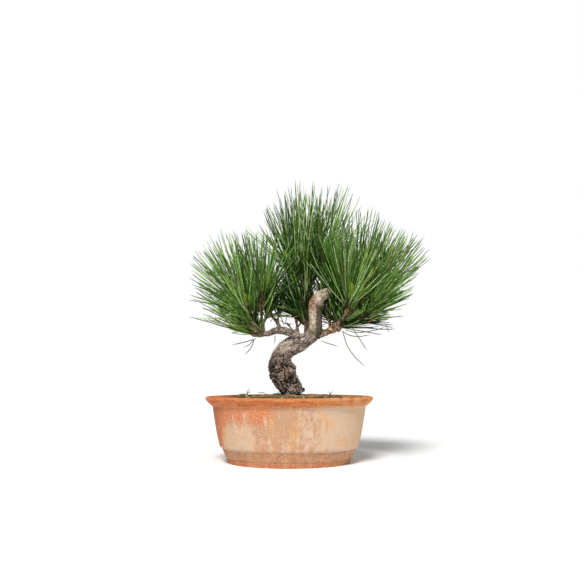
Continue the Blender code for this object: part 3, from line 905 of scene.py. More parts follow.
BOUGHS = (
    Limb("left_bough", (
        (17, 0, 171, 6.2), (7.5, -6, 178.4, 6.1), (-6.2, -9, 183.3, 5.8), (-17.8, -10, 184, 5),
        (-27.9, -12, 180.3, 4.3), (-37, -15, 177.8, 3.7), (-44, -17, 176.2, 2.8),
    )),
    Limb("right_bough", (
        (34, 3.4, 176, 6), (42, 4, 179, 5.6), (50, 3, 181, 5), (58.1, 2, 185, 4.6),
        (70.2, 0, 190.1, 4.7), (82, 0, 195.5, 3.1), (98, 2, 203.5, 2.5), (118, 5, 218, 1.9),
    )),
    Limb("top_bough", ((27, 5, 171, 5), (25.5, 15, 182, 4.4), (27, 20, 205, 3.7), (25, 22, 236, 2.8))),
    Limb("back_bough", ((10, 4, 166, 3.6), (12, 16, 181, 3), (11.5, 23, 191, 2.5), (10.5, 29, 201, 2.1))),
    Limb("left_riser", ((-36, -14.6, 178, 3.4), (-38.6, -13, 196, 2.7), (-39.7, -12, 209, 2.2))),
    Limb("left_out_bough", ((-38.2, -13, 193, 2.2), (-48, -4, 200, 2.1), (-58, 4, 209, 1.9))),
    Limb("left_front_bough", ((-40, -16, 177, 2.4), (-47, -26, 185, 2.2), (-52.5, -32, 193, 1.9))),
    Limb("left_back_bough", (
        (-14, -9.5, 184, 3), (-16, 6, 194, 2.6), (-20, 22, 201, 2.3), (-27, 38, 209, 2),
    )),
    Limb("top_left_bough", ((26.5, 21, 213, 2.6), (15.5, 22, 232, 2.3), (8, 22, 250, 2))),
    Limb("top_right_bough", ((27, 20, 207, 2.7), (37.5, 25, 228, 2.3), (48, 27, 256, 2))),
    Limb("top_back_bough", ((26.5, 21, 219, 2.5), (28, 38, 234, 2.2), (27, 54, 250, 1.9))),
    Limb("right_back_bough", ((56, 2, 184, 3), (62, 18, 192, 2.5), (72, 36, 203, 2))),
    Limb("right_front_bough", ((62.5, 1, 187, 2.8), (69, -14, 194, 2.3), (77, -27, 203, 2))),
    Limb("right_riser", ((71, 0, 190.5, 2.9), (75, -4, 200, 2.4), (78.5, -6, 208, 2))),
    Limb("right_mid_bough", ((79, 0, 194, 2.5), (86, 8, 206, 2.3), (94, 12, 220, 1.9))),
    Limb("right_low_bough", ((83, 0, 196, 2.2), (89, -9, 196.5, 2.1), (95, -15, 198, 1.8))),
)

MASSES = (
    Mass("left_low_needles", "left_bough", 188, 24, 3, 30, 14, 60, 8, 84, 11, 114),
    Mass("left_front_needles", "left_front_bough", 205, 50, 3, 28, 20, 58, 8, 84, 31, 130),
    Mass("left_out_needles", "left_out_bough", 170, 58, 3, 28, 22, 58, 8, 99, 13, 159),
    Mass("left_top_needles", "left_riser", 110, 87, 3, 24, 24, 50, 6, 98, 12, 204),
    Mass("left_back_needles", "left_back_bough", 115, 56, 3, 30, 22, 60, 8, 92, 14, 160),
    Mass("back_needles", "back_bough", 95, 54, 3, 30, 20, 58, 8, 90, 15, 200),
    Mass("top_left_needles", "top_left_bough", 130, 86, 2, 20, 26, 36, 5, 120, 32, 130),
    Mass("top_needles", "top_bough", 100, 88, 3, 20, 42, 36, 4, 136, 16, 170, stem=8.0),
    Mass("top_right_needles", "top_right_bough", 20, 80, 3, 22, 26, 38, 5, 126, 33, 126),
    Mass("top_back_needles", "top_back_bough", 95, 70, 3, 24, 24, 46, 6, 104, 37, 150),
    Mass("right_riser_needles", "right_riser", 300, 86, 3, 24, 22, 54, 6, 108, 18, 260),
    Mass("right_front_needles", "right_front_bough", 310, 56, 3, 28, 20, 55, 8, 92, 34, 189),
    Mass("right_mid_needles", "right_mid_bough", 15, 72, 3, 24, 24, 48, 6, 126, 19, 240),
    Mass("right_out_needles", "right_bough", 0, 60, 3, 26, 22, 48, 6, 106, 40, 216),
    Mass("right_low_needles", "right_low_bough", -14, 30, 3, 30, 18, 60, 8, 82, 21, 180),
    Mass("right_back_needles", "right_back_bough", 60, 56, 3, 30, 22, 56, 8, 98, 22, 220),
)


@dataclass(frozen=True)
class Spur:
    """A short side shoot on a bough, finer than the source's shoots, in the space of one mass."""

    mass: str
    limb: str
    share: float
    turn: float
    rise: float
    length: float
    needle: float
    count: int
    droop: float = 0.06
    wide: float = 70.0


SPURS = (
    Spur("back_needles", "top_bough", 0.38, 165, 35, 13, 52, 44),
    Spur("back_needles", "top_bough", 0.55, 200, 48, 13, 58, 44),
    Spur("top_left_needles", "top_bough", 0.68, 225, 58, 12, 66, 44),
    Spur("top_needles", "top_bough", 0.82, 275, 70, 12, 74, 44),
    Spur("top_right_needles", "top_bough", 0.72, 330, 58, 12, 66, 40),
    Spur("back_needles", "back_bough", 0.45, 150, 25, 12, 50, 40),
    Spur("back_needles", "back_bough", 0.75, 20, 45, 11, 56, 40),
    Spur("left_back_needles", "left_back_bough", 0.3, 95, 50, 12, 52, 40),
    Spur("left_back_needles", "left_back_bough", 0.6, 40, 55, 12, 60, 40),
    Spur("left_top_needles", "left_riser", 0.5, 30, 42, 11, 56, 44),
    Spur("left_top_needles", "left_riser", 0.75, 250, 48, 10, 60, 44),
    Spur("left_low_needles", "left_bough", 0.86, 215, 35, 9, 56, 36),
    Spur("right_riser_needles", "right_bough", 0.3, 130, 70, 13, 62, 40),
    Spur("right_riser_needles", "right_bough", 0.4, 260, 62, 9, 66, 44),
    Spur("right_low_needles", "right_bough", 0.47, 300, 10, 8, 60, 36),
    Spur("right_low_needles", "right_bough", 0.56, 320, 22, 9, 74, 40),
    Spur("right_back_needles", "right_back_bough", 0.5, 160, 55, 12, 60, 40),
    Spur("right_low_needles", "right_bough", 0.38, 335, -8, 9, 64, 50, 0.2, 36),
    Spur("right_low_needles", "right_bough", 0.42, 312, 0, 9, 56, 50, 0.18, 45),
    Spur("right_low_needles", "right_bough", 0.47, 345, -3, 9, 60, 50, 0.16, 40),
    Spur("right_low_needles", "right_low_bough", 0.6, 345, -10, 8, 50, 44, 0.2, 40),
    Spur("right_low_needles", "right_bough", 0.65, 340, 0, 9, 50, 44, 0.16, 45),
    Spur("right_front_needles", "right_bough", 0.38, 290, 40, 8, 52, 40),
    Spur("right_riser_needles", "right_bough", 0.36, 60, 68, 12, 62, 40),
    Spur("right_riser_needles", "right_riser", 0.35, 315, 32, 8, 50, 44),
    Spur("right_riser_needles", "right_riser", 0.55, 225, 50, 8, 56, 44),
    Spur("right_front_needles", "right_front_bough", 0.35, 330, 20, 8, 50, 40),
    Spur("left_low_needles", "left_bough", 0.97, 200, -10, 8, 52, 26, 0.34),
    Spur("left_low_needles", "left_bough", 0.93, 186, 2, 9, 64, 26, 0.2),
    Spur("left_low_needles", "left_bough", 0.88, 235, 6, 8, 46, 26, 0.2),
    Spur("top_left_needles", "top_left_bough", 0.9, 150, 78, 12, 98, 22, 0.06, 26),
    Spur("top_right_needles", "top_right_bough", 0.85, 350, 70, 12, 94, 30, 0.06, 40),
    Spur("left_out_needles", "left_out_bough", 0.95, 172, 66, 9, 120, 40, 0.06, 36),
    Spur("left_out_needles", "left_out_bough", 0.9, 178, 46, 9, 108, 30, 0.06, 36),
    Spur("back_needles", "top_bough", 0.3, 235, 52, 8, 46, 44),
    Spur("back_needles", "top_bough", 0.45, 250, 60, 8, 50, 40),
    Spur("left_front_needles", "left_front_bough", 0.4, 250, 40, 8, 48, 36),
    Spur("left_front_needles", "left_front_bough", 0.65, 190, 20, 8, 56, 48),
    Spur("left_front_needles", "left_front_bough", 0.85, 280, 45, 8, 50, 36),
)


# Wood


@dataclass
class Skin:
    """Limbs under one skin of bark: tubes swept along them, melted together, then given relief."""

    name: str
    paths: list[np.ndarray]
    material: bpy.types.Material
    slot: str
    replaced: tuple[str, ...]
    voxel: float
    relief: Callable[["Skin", np.ndarray, Where], Relief]
    sides: int = 20
    seed: int = 5

    def build(self, sweep: NodeRule) -> bpy.types.Object:
        """Makes the piece.

        Args:
            sweep: The tree that sweeps tubes.

        Returns:
            The piece.
        """
        obj = sweep.run(chains(self.name, self.paths), Sides=self.sides, Width=1.0, Material=self.material)
        melt = obj.modifiers.new("melt", "REMESH")
        melt.mode = "VOXEL"
        melt.voxel_size = self.voxel * MM
        settle(obj)
        points = points_of(obj)
        lift, marks = self.relief(self, points, self.where(points))
        move_points(obj, points + lift[:, None] * normals_of(obj))
        for mark, values in marks.items():
            set_attribute(obj, mark, values)
        return finished(obj, self.material, self.slot, self.replaced, smooth=70.0)

    def where(self, points: np.ndarray) -> Where:
        """Where points are on the limbs.

        Args:
            points: The points as rows.

        Returns:
            For each point the number of its limb, the length along it, the turn round it and its radius.
        """
        rows, tangents, sides, lengths, owners = [], [], [], [], []
        for number, path in enumerate(self.paths):
            tangent = unit(np.gradient(path[:, :3], axis=0))
            side, turned = square_to(tangent[0])[0], []
            for t in tangent:
                side = unit(side - t * (side @ t))
                turned.append(side)
            steps = np.linalg.norm(np.diff(path[:, :3], axis=0), axis=1)
            rows.append(path)
            tangents.append(tangent)
            sides.append(np.array(turned))
            lengths.append(np.concatenate([[0], np.cumsum(steps)]))
            owners.append(np.full(len(path), number))
        row, tangent, side = np.concatenate(rows), np.concatenate(tangents), np.concatenate(sides)
        length, owner = np.concatenate(lengths), np.concatenate(owners)
        nearest = np.concatenate([
            (np.linalg.norm(chunk[:, None] - row[None, :, :3], axis=2) - row[None, :, 3]).argmin(axis=1)
            for chunk in np.array_split(points, max(1, len(points) // 4000))
        ])
        away = points - row[nearest, :3]
        t, s = tangent[nearest], side[nearest]
        other = np.cross(t, s)
        turn = np.arctan2((away * other).sum(axis=1), (away * s).sum(axis=1)) / (2 * math.pi) + 0.5
        return {
            "limb": owner[nearest], "along": length[nearest] + (away * t).sum(axis=1),
            "turn": turn, "radius": row[nearest, 3],
        }

    def plates(self, points: np.ndarray, where: Where, wide: float, long: float,
               salt: int) -> tuple[np.ndarray, np.ndarray]:
        """Plates of bark of a width and a length, wandering a little.

        Args:
            points: The points as rows.
            where: Where they are on the limbs.
            wide: The plates' width.
            long: The plates' length.
            salt: Makes one set of plates differ from another.

        Returns:
            How near a crack each point is, from 0 on it, and its plate's own number.
        """
        noise = Noise(self.seed + salt)
        radius = np.array([path[:, 3].mean() for path in self.paths])[where["limb"]]
        count = np.maximum(3, np.round(2 * math.pi * radius / wide)).astype(np.int64)
        across = where["turn"] * count + self._wander(noise, points)
        along = where["along"] / long + self._wander(noise, points + 90) + 31.0 * where["limb"]
        return noise.cells(across, along, count)

    @staticmethod
    def _wander(noise: Noise, points: np.ndarray) -> np.ndarray:
        """How far the pattern strays, coarsely and finely."""
        return noise.smooth(points, 8.0) - 0.5 + 0.5 * (noise.smooth(points + 40, 2.4) - 0.5)


OLD_BARK = (158.0, 136.0)  # heights between which the bark turns from young to old
KNUCKLE = np.array([68.0, 0.0, 189.5])  # where the right bough swells and parts


def bark_relief(skin: Skin, points: np.ndarray, where: Where) -> Relief:
    """Deep plates low on the trunk, cross wrinkles over its bend and fine scales on the boughs.

    Args:
        skin: The skin.
        points: Its points as rows.
        where: Where they are on the limbs.

    Returns:
        How far each point moves outwards, and the marks that the finish reads.
    """
    noise = Noise(skin.seed)
    on_trunk = where["limb"] == 0
    level = points[:, 2] + 6 * (noise.smooth(points, 11.0) - 0.5)
    age = np.where(on_trunk, smoothstep(*OLD_BARK, level), 0.0)
    bend = np.where(on_trunk, 1 - age, 0.0)
    bough = 1.0 - age - bend
    edge, tint = skin.plates(points, where, 7.0, 15.0, 1)
    open_here = smoothstep(0.15, 0.45, noise.smooth(points + 60, 6.0) + 0.25 * tint)
    deep = (1 - smoothstep(0.02, 0.38, edge)) * open_here
    edge, flake = skin.plates(points, where, 3.6, 3.0, 2)
    fine = 1 - smoothstep(0.02, 0.30, edge)
    edge, fold = skin.plates(points, where, 4.6, 10.5, 3)
    open_here = 0.35 + 0.65 * smoothstep(0.3, 0.6, noise.smooth(points + 130, 7.0))
    wrinkle = (1 - smoothstep(0.02, 0.34, edge)) * open_here
    rough = noise.layered(points, 3.0) - 0.5
    lump = noise.layered(points, 12.0) - 0.5
    lift = (
        age * (2.8 * (tint - 0.5) - 3.2 * deep + 1.5 * (flake - 0.5) - 0.9 * fine + 3.0 * lump)
        + bend * (1.5 * (fold - 0.5) - 1.5 * wrinkle + 0.7 * (flake - 0.5) - 0.6 * fine + 2.6 * lump)
        + bough * (0.8 * (flake - 0.5) - 0.7 * fine + 2.2 * lump)
        + 0.8 * rough
    )
    # where the finish paints cracks dark, partly as painted shade
    crack = age * np.maximum(deep, 0.6 * fine) + bend * np.maximum(wrinkle, 0.55 * fine) + bough * 0.8 * fine
    crack = np.clip(crack, 0, 1)
    knuckle = np.linalg.norm(points - KNUCKLE, axis=1)
    lift += (0.6 + 2.4 * flake) * smoothstep(15.0, 4.0, knuckle)
    amber = smoothstep(26.0, 9.0, knuckle) + 0.45 * bough * smoothstep(3.4, 2.2, where["radius"])
    own = age * (0.6 * tint + 0.4 * flake) + bend * (0.5 * fold + 0.5 * flake) + bough * flake
    grey = np.where(where["limb"] == 2, 0.35, 0.72)
    old = age + bend * 0.5 * noise.layered(points + 300, 10.0) + bough * grey
    return lift, {"crack": crack, "tint": own, "age": old, "amber": np.clip(amber, 0, 1)}


def leader_relief(skin: Skin, points: np.ndarray, where: Where) -> Relief:
    """Shallow lengthwise flakes and knots on the cut leader.

    Args:
        skin: The skin.
        points: Its points as rows.
        where: Where they are on the limb.

    Returns:
        How far each point moves outwards, and the marks that the finish reads.
    """
    noise = Noise(skin.seed)
    edge, tint = skin.plates(points, where, 5.0, 7.0, 1)
    # where the finish paints cracks dark, partly as painted shade
    crack = 1 - smoothstep(0.02, 0.22, edge)
    edge, flake = skin.plates(points, where, 2.6, 2.4, 2)
    fine = 1 - smoothstep(0.02, 0.25, edge)
    lift = 0.9 * (tint - 0.5) - 0.8 * crack - 0.3 * fine + 2.0 * (noise.layered(points, 9.0) - 0.5)
    lift += 0.9 + 0.9 * smoothstep(208.0, 236.0, points[:, 2])
    x, z = points[:, 0], points[:, 2]
    lift += 3.6 * smoothstep(36.0, 42.0, x) * smoothstep(176.0, 184.0, z) * smoothstep(231.0, 220.0, z)
    lift += 1.2 * smoothstep(204.0, 222.0, z)
    lift += 0.6 * (noise.layered(points, 2.6) - 0.5)
    return lift, {"crack": np.clip(0.8 * crack + 0.3 * fine, 0, 1), "tint": 0.5 * tint + 0.5 * flake}


def twig_relief(skin: Skin, points: np.ndarray, where: Where) -> Relief:
    """Small overlapping scales on the young shoots.

    Args:
        skin: The skin.
        points: Its points as rows.
        where: Where they are on the shoots.

    Returns:
        How far each point moves outwards, and the marks that the finish reads.
    """
    edge, tint = skin.plates(points, where, 1.7, 2.3, 1)
    # where the finish paints the gaps between scales dark, partly as painted shade
    crack = 1 - smoothstep(0.02, 0.35, edge)
    ends = np.array([np.linalg.norm(np.diff(p[:, :3], axis=0), axis=1).sum() for p in skin.paths])
    bud = smoothstep(9.0, 6.0, ends[where["limb"]] - where["along"])
    return 0.55 * (tint - 0.5) - 0.35 * crack, {"crack": crack, "tint": tint, "amber": bud}


# Foliage


class Tint(Enum):
    """The needles' greens and the brown of dead ones; two dark greens are painted shade, a whitish one painted
    highlight.
    """

    LIME = (0.330, 0.530, 0.045)
    FRESH = (0.255, 0.440, 0.100)
    MID = (0.100, 0.220, 0.033)
    SHADE = (0.044, 0.108, 0.016)
    # near-black green: painted shade for needles deep in the crown and for dark strays
    DEEP = (0.014, 0.038, 0.004)
    OLIVE = (0.230, 0.270, 0.080)
    # whitish green: painted highlights on some needles
    PALE = (0.430, 0.590, 0.255)
    DEAD = (0.260, 0.140, 0.060)

    @property
    def piece(self) -> str:
        """The name of the piece that holds these needles."""
        return f"{self.name.lower()}_needles"


@dataclass(frozen=True)
class Shoot:
    """One shoot from where it leaves its limb to its bud, with the needles that it carries."""

    start: np.ndarray
    fork: np.ndarray
    foot: np.ndarray
    tip: np.ndarray
    tint: Tint
    wide: float
    tight: float
    needle: float
    count: int
    radius: float
    droop: float = 0.06


def heading_of(turn: float, rise: float) -> np.ndarray:
    """A direction from its turn in plan and its rise above level, in degrees."""
    turn, rise = math.radians(turn), math.radians(rise)
    return np.array([math.cos(turn) * math.cos(rise), math.sin(turn) * math.cos(rise), math.sin(rise)])


def limb_named(name: str) -> Limb:
    """The bough with a name."""
    return next(limb for limb in BOUGHS if limb.name == name)


class Fence:
    """Tapering segments that needles stay clear of."""

    def __init__(self, paths: Sequence[np.ndarray]) -> None:
        """Splits paths of x, y, z and radius into segments."""
        self.starts = np.concatenate([path[:-1] for path in paths])
        self.ends = np.concatenate([path[1:] for path in paths])

    def clears(self, path: np.ndarray, gap: float) -> bool:
        """Whether every point of a path stays a gap clear of every segment."""
        first, along = self.starts[:, :3], self.ends[:, :3] - self.starts[:, :3]
        away = path[:, None, :] - first[None]
        t = np.clip((away * along).sum(axis=2) / (along * along).sum(axis=1), 0, 1)
        apart = np.linalg.norm(away - t[..., None] * along, axis=2)
        radius = self.starts[:, 3] + (self.ends[:, 3] - self.starts[:, 3]) * t
        return bool((apart > radius + gap).all())


@dataclass
class Foliage:
    """All needles of the crown, in pairs along the shoots, and the young shoots themselves."""

    fan_start: float = 0.35
    foot_reach: tuple[float, float] = (0.4, 1.2)
    candle_spread: tuple[float, float] = (0.85, 1.1)
    shoot_lift: float = 0.25
    focus_share: float = 0.4
    opening_curve: float = 0.85
    opening_drift: tuple[float, float] = (2.0, 8.0)
    turn_drift: float = 0.25
    needle_lift: float = 0.1
    needle_spread: tuple[float, float] = (0.72, 1.05)
    bend_drift: tuple[float, float] = (0.065, 0.05)
    sway_drift: float = 0.04
    shortenings: tuple[float, ...] = (1.0, 0.92, 0.84)
    candle_top: float = 0.76
    candle_needles: tuple[float, float] = (0.18, 0.42)
    bud_swells: tuple[tuple[float, float], ...] = ((0.15, 1.05), (0.4, 1.3), (0.7, 0.9), (1.0, 0.2))
    shoot_radius: float = 2.7
    spur_radius: float = 1.6
    bud_share: float = 0.8
    bud_length: float = 9.0
    half_width: float = 0.66
    sheath_length: float = 5.5
    overlap: float = 34.0
    reach_margin: tuple[float, float, float] = (1.5, 5.0, 8.0)
    skirt: tuple[float, float, float] = (152.0, 195.0, 0.55)
    clearance: float = 0.5
    parting: float = 2.6
    bare_foot: float = 0.22
    # painted shade: the middle and radii of the crown's core, and the share of needles in it painted near
    # black
    shade_core: tuple[tuple[float, ...], ...] = ((26.0, 5.0, 212.0), (122.0, 66.0, 64.0))
    shade_share: float = 0.66
    bright_share: float = 0.86
    mixed_share: float = 0.55
    steps: tuple[float, ...] = (0.0, 0.16, 0.36, 0.58, 0.8, 0.95, 1.0)
    widths: tuple[float, ...] = (0.8, 0.95, 1.0, 1.0, 0.95, 0.78, 0.2)
    windows: tuple[tuple[tuple[float, float], tuple[float, float], float], ...] = (
        ((-22.0, 55.0), (0.0, 246.0), -6.0), ((-44.0, -36.0), (204.0, 230.0), -24.0),
        ((-19.0, 8.0), (188.0, 208.0), 99.0),
        ((-150.0, -68.0), (334.0, 450.0), 99.0), ((-68.0, -50.0), (340.0, 450.0), 99.0),
        ((-50.0, -37.0), (356.0, 450.0), 99.0), ((-37.0, -22.0), (378.0, 450.0), 99.0),
        ((-150.0, -112.0), (100.0, 196.0), 99.0), ((-112.0, -84.0), (100.0, 187.0), 99.0),
    )

    def shoots_of(self, mass: Mass) -> list[Shoot]:
        """A mass's shoots, by the same draws as in the part's source.

        Args:
            mass: The mass.

        Returns:
            The shoots.
        """
        random = np.random.default_rng(mass.seed)
        dealt = np.random.default_rng(mass.seed + 50)
        tip, along = limb_named(mass.limb).tip()
        axis = heading_of(mass.turn, mass.rise)
        fork = tip + GAP * along + mass.stem * (along + axis) / 2
        side, other = square_to(axis)
        first = random.uniform(0, 2 * math.pi)
        shoots = []
        for i in range(mass.shoots):
            tilt = math.radians(mass.spread) * math.sqrt((i + self.fan_start) / mass.shoots)
            round_axis = first + i * 2 * math.pi / mass.shoots
            out = math.cos(round_axis) * side + math.sin(round_axis) * other
            heading = math.cos(tilt) * axis + math.sin(tilt) * out
            foot = fork + mass.stem * random.uniform(*self.foot_reach) * heading
            candle = mass.candle * random.uniform(*self.candle_spread)
            bud = foot + candle * unit(heading + self.shoot_lift * UP)
            shoots.append(Shoot(
                tip - 3 * along, fork, foot, bud, self._dealt_tint(dealt), mass.wide,
                mass.tight, mass.needle, mass.count // mass.shoots, self.shoot_radius,
            ))
        return shoots

    def spurs_of(self, mass: Mass) -> list[Shoot]:
        """The finer side shoots in a mass's space."""
        dealt = np.random.default_rng(mass.seed + 70)
        spurs = []
        for spur in (s for s in SPURS if s.mass == mass.name):
            path = smooth_path(limb_named(spur.limb).points, 2.0)
            start = path[round(spur.share * (len(path) - 1)), :3]
            heading = heading_of(spur.turn, spur.rise)
            spurs.append(Shoot(
                start, start + 0.35 * spur.length * heading, start + 0.5 * spur.length * heading,
                start + (0.5 * heading + unit(heading + 0.6 * UP)) * spur.length, self._dealt_tint(dealt),
                spur.wide, 10.0, spur.needle, spur.count, self.spur_radius, spur.droop,
            ))
        return spurs

    @staticmethod
    def _dealt_tint(random: np.random.Generator) -> Tint:
        """The tint that most needles of a shoot have."""
        return (Tint.FRESH, Tint.MID, Tint.SHADE)[random.choice(3, p=(0.4, 0.4, 0.2))]

    def _tint_at(self, shoot: Shoot, middle: np.ndarray, random: np.random.Generator) -> Tint:
        """The tint of a pair of needles: its shoot's or another, painted shade in the crown's core and some
        painted highlights.
        """
        centre, radii = (np.array(row) for row in self.shade_core)
        inside = np.linalg.norm((middle - centre) / radii) < 1
        draw, other = random.random(), random.choice(6, p=(0.27, 0.22, 0.12, 0.31, 0.07, 0.01))
        # painted shade: most needles in the crown's core get the near-black tint
        if inside and draw < self.shade_share:
            return Tint.DEEP
        # painted highlights: a few needles in the core, and some outside it, get the whitish tint
        if inside and draw > self.bright_share:
            return (Tint.PALE, Tint.FRESH, Tint.PALE, Tint.FRESH, Tint.OLIVE, Tint.DEAD)[other]
        if not inside and draw < self.mixed_share:
            return (Tint.FRESH, Tint.PALE, Tint.MID, Tint.SHADE, Tint.OLIVE, Tint.DEAD)[other]
        return shoot.tint

    def focus_points(self, mass: Mass) -> np.ndarray:
        """The middle of the space that each of a mass's shoots fills."""
        reach = self.focus_share * mass.needle
        return np.array([s.tip + reach * unit(s.tip - s.foot) for s in self.shoots_of(mass)])

    def needle(self, root: np.ndarray, heading: np.ndarray, inward: np.ndarray, length: float,
               bend: float, sway: float) -> np.ndarray:
        """One needle's path.

        Args:
            root: Where it starts.
            heading: Its direction there.
            inward: Towards its shoot's axis, square to the heading.
            length: Its length.
            bend: How far its tip turns inwards, as a share of its length.
            sway: How far its tip turns sideways.

        Returns:
            Points as x, y, z and half width.
        """
        t = np.array(self.steps)[:, None]
        cross = np.cross(heading, inward)
        path = root + length * (t * heading + t**2 * (bend * inward + sway * cross))
        return np.column_stack([path, self.half_width * np.array(self.widths)])

    def fits(self, path: np.ndarray, droop: float, own: np.ndarray, others: np.ndarray, limbs: Fence) -> bool:
        """Whether a needle keeps to its mass's space, out of the open windows and clear of the limbs.

        Args:
            path: The needle's path.
            droop: How far its tip may fall below its root, as a share of its length.
            own: The middles of its mass's own spaces.
            others: The middles of the other masses' spaces.
            limbs: The limbs.

        Returns:
            True if it may stay.
        """
        root, tip = path[0, :3], path[-1, :3]
        if tip[2] - root[2] < -droop * np.linalg.norm(tip - root):
            return False
        near = np.linalg.norm(own - tip, axis=1).min()
        if near > np.linalg.norm(others - tip, axis=1).min() + self.overlap:
            return False
        low, high = (np.array(corner) / MM for corner in CAD_BOX)
        if (tip < low - self.reach_margin).any() or (tip > high + self.reach_margin).any():
            return False
        reach, level, climb = self.skirt
        if tip[0] > reach + climb * (tip[2] - level):
            return False
        x, y, z = path[:, :3].T
        for (left, right), (bottom, top), front in self.windows:
            if ((x > left) & (x < right) & (z > bottom) & (z < top) & (y < front)).any():
                return False
        return limbs.clears(path[1:, :3], self.clearance)

    def pairs_of(self, mass: Mass, limbs: Fence) -> Iterator[tuple[Tint, np.ndarray, list[np.ndarray]]]:
        """The pairs of needles of a mass, round its shoots by the golden angle.

        Args:
            mass: The mass.
            limbs: What they stay clear of.

        Yields:
            Each pair's tint, its sheath's path and its needles' paths.
        """
        own = self.focus_points(mass)
        others = np.concatenate([self.focus_points(m) for m in MASSES if m is not mass])
        random = np.random.default_rng(mass.seed + 1000)
        for shoot in self.shoots_of(mass) + self.spurs_of(mass):
            axis = unit(shoot.tip - shoot.foot)
            side, other = square_to(axis)
            each = shoot.count // 2
            for order in range(each):
                share = (order + random.uniform(0.2, 0.8)) / each
                opening = shoot.wide + (shoot.tight - shoot.wide) * share**self.opening_curve
                opening = math.radians(opening + random.normal(*self.opening_drift))
                round_axis = order * GOLDEN_ANGLE + random.normal(0, self.turn_drift)
                out = math.cos(round_axis) * side + math.sin(round_axis) * other
                heading = unit(math.cos(opening) * axis + math.sin(opening) * out + self.needle_lift * UP)
                length = shoot.needle * random.uniform(*self.needle_spread)
                core = shoot.radius * (1 + (self.bud_share - 1) * share)
                reached = self.bare_foot + (0.98 - self.bare_foot) * share
                root = shoot.foot + (shoot.tip - shoot.foot) * reached + 0.7 * core * out
                inward = axis - heading * (axis @ heading)
                inward = unit(inward) if np.linalg.norm(inward) > 1e-6 else square_to(heading)[0]
                cross = np.cross(heading, inward)
                split = random.uniform(0, math.pi)
                apart = math.cos(split) * inward + math.sin(split) * cross
                spread = math.radians(self.parting) * random.uniform(0.4, 1.8)
                tint = self._tint_at(shoot, root + 0.5 * length * heading, random)
                if share > self.candle_top and shoot.radius == self.shoot_radius:
                    tint, length = Tint.LIME, length * random.uniform(*self.candle_needles)
                needles = []
                for sign in (-1, 1):
                    way = unit(heading + sign * math.tan(spread) * apart)
                    bend, sway = random.normal(*self.bend_drift), random.normal(0, self.sway_drift)
                    own_length = length * random.uniform(0.95, 1.02)
                    for shortened in self.shortenings:
                        path = self.needle(root, way, inward, own_length * shortened, bend, sway)
                        if self.fits(path, shoot.droop, own, others, limbs):
                            needles.append(path)
                            break
                if needles:
                    end = root + self.sheath_length * heading
                    sheath = np.array([[*root, 1.05 * self.half_width], [*end, 1.25 * self.half_width]])
                    yield tint, sheath, needles

    def twig_paths(self) -> list[np.ndarray]:
        """The stems and shoots, each ending in its bud."""
        paths = []
        for mass in MASSES:
            for shoot in self.shoots_of(mass) + self.spurs_of(mass):
                axis = unit(shoot.tip - shoot.foot)
                wide = shoot.radius
                bud = [
                    (*(shoot.tip + share * self.bud_length * axis), swell * wide)
                    for share, swell in self.bud_swells
                ]
                paths.append(smooth_path((
                    (*shoot.start, 0.85 * wide), (*shoot.fork, 0.85 * wide), (*shoot.foot, wide),
                    (*shoot.tip, self.bud_share * wide), *bud,
                ), 0.8))
        return paths

    def build(self, sweep: NodeRule, finishes: dict[Tint, bpy.types.Material],
              twig: bpy.types.Material, sheath: bpy.types.Material) -> None:
        """Makes the needles by tint, their sheaths and the shoots.

        Args:
            sweep: The tree that sweeps tubes.
            finishes: The finish of each tint.
            twig: The shoots' finish.
            sheath: The sheaths' finish.
        """
        limbs = Fence([smooth_path(limb.points, 3.0) for limb in (TRUNK, CUT_LEADER, *BOUGHS)])
        needles: dict[Tint, list[np.ndarray]] = {tint: [] for tint in Tint}
        sheaths = []
        for mass in MASSES:
            before = sum(len(paths) for paths in needles.values())
            for tint, cover, paths in self.pairs_of(mass, limbs):
                needles[tint] += paths
                sheaths.append(cover)
            LOG.info("%s: %d needles", mass.name, sum(len(p) for p in needles.values()) - before)
        names = tuple(mass.name for mass in MASSES)
        for tint in Tint:
            paths = needles[tint] + STRAYS.paths(self, tint)
            obj = sweep.run(chains(tint.piece, paths), Sides=3, Width=1.0, Material=finishes[tint])
            finished(obj, finishes[tint], "needles", names if tint is Tint.MID else (), smooth=130.0)
        obj = sweep.run(chains("needle_sheaths", sheaths), Sides=4, Width=1.0, Material=sheath)
        finished(obj, sheath, "young_bark", smooth=130.0)
        shoots = self.twig_paths()
        Skin("young_shoots", shoots, twig, "young_bark", (), 0.7, twig_relief, sides=10).build(sweep)


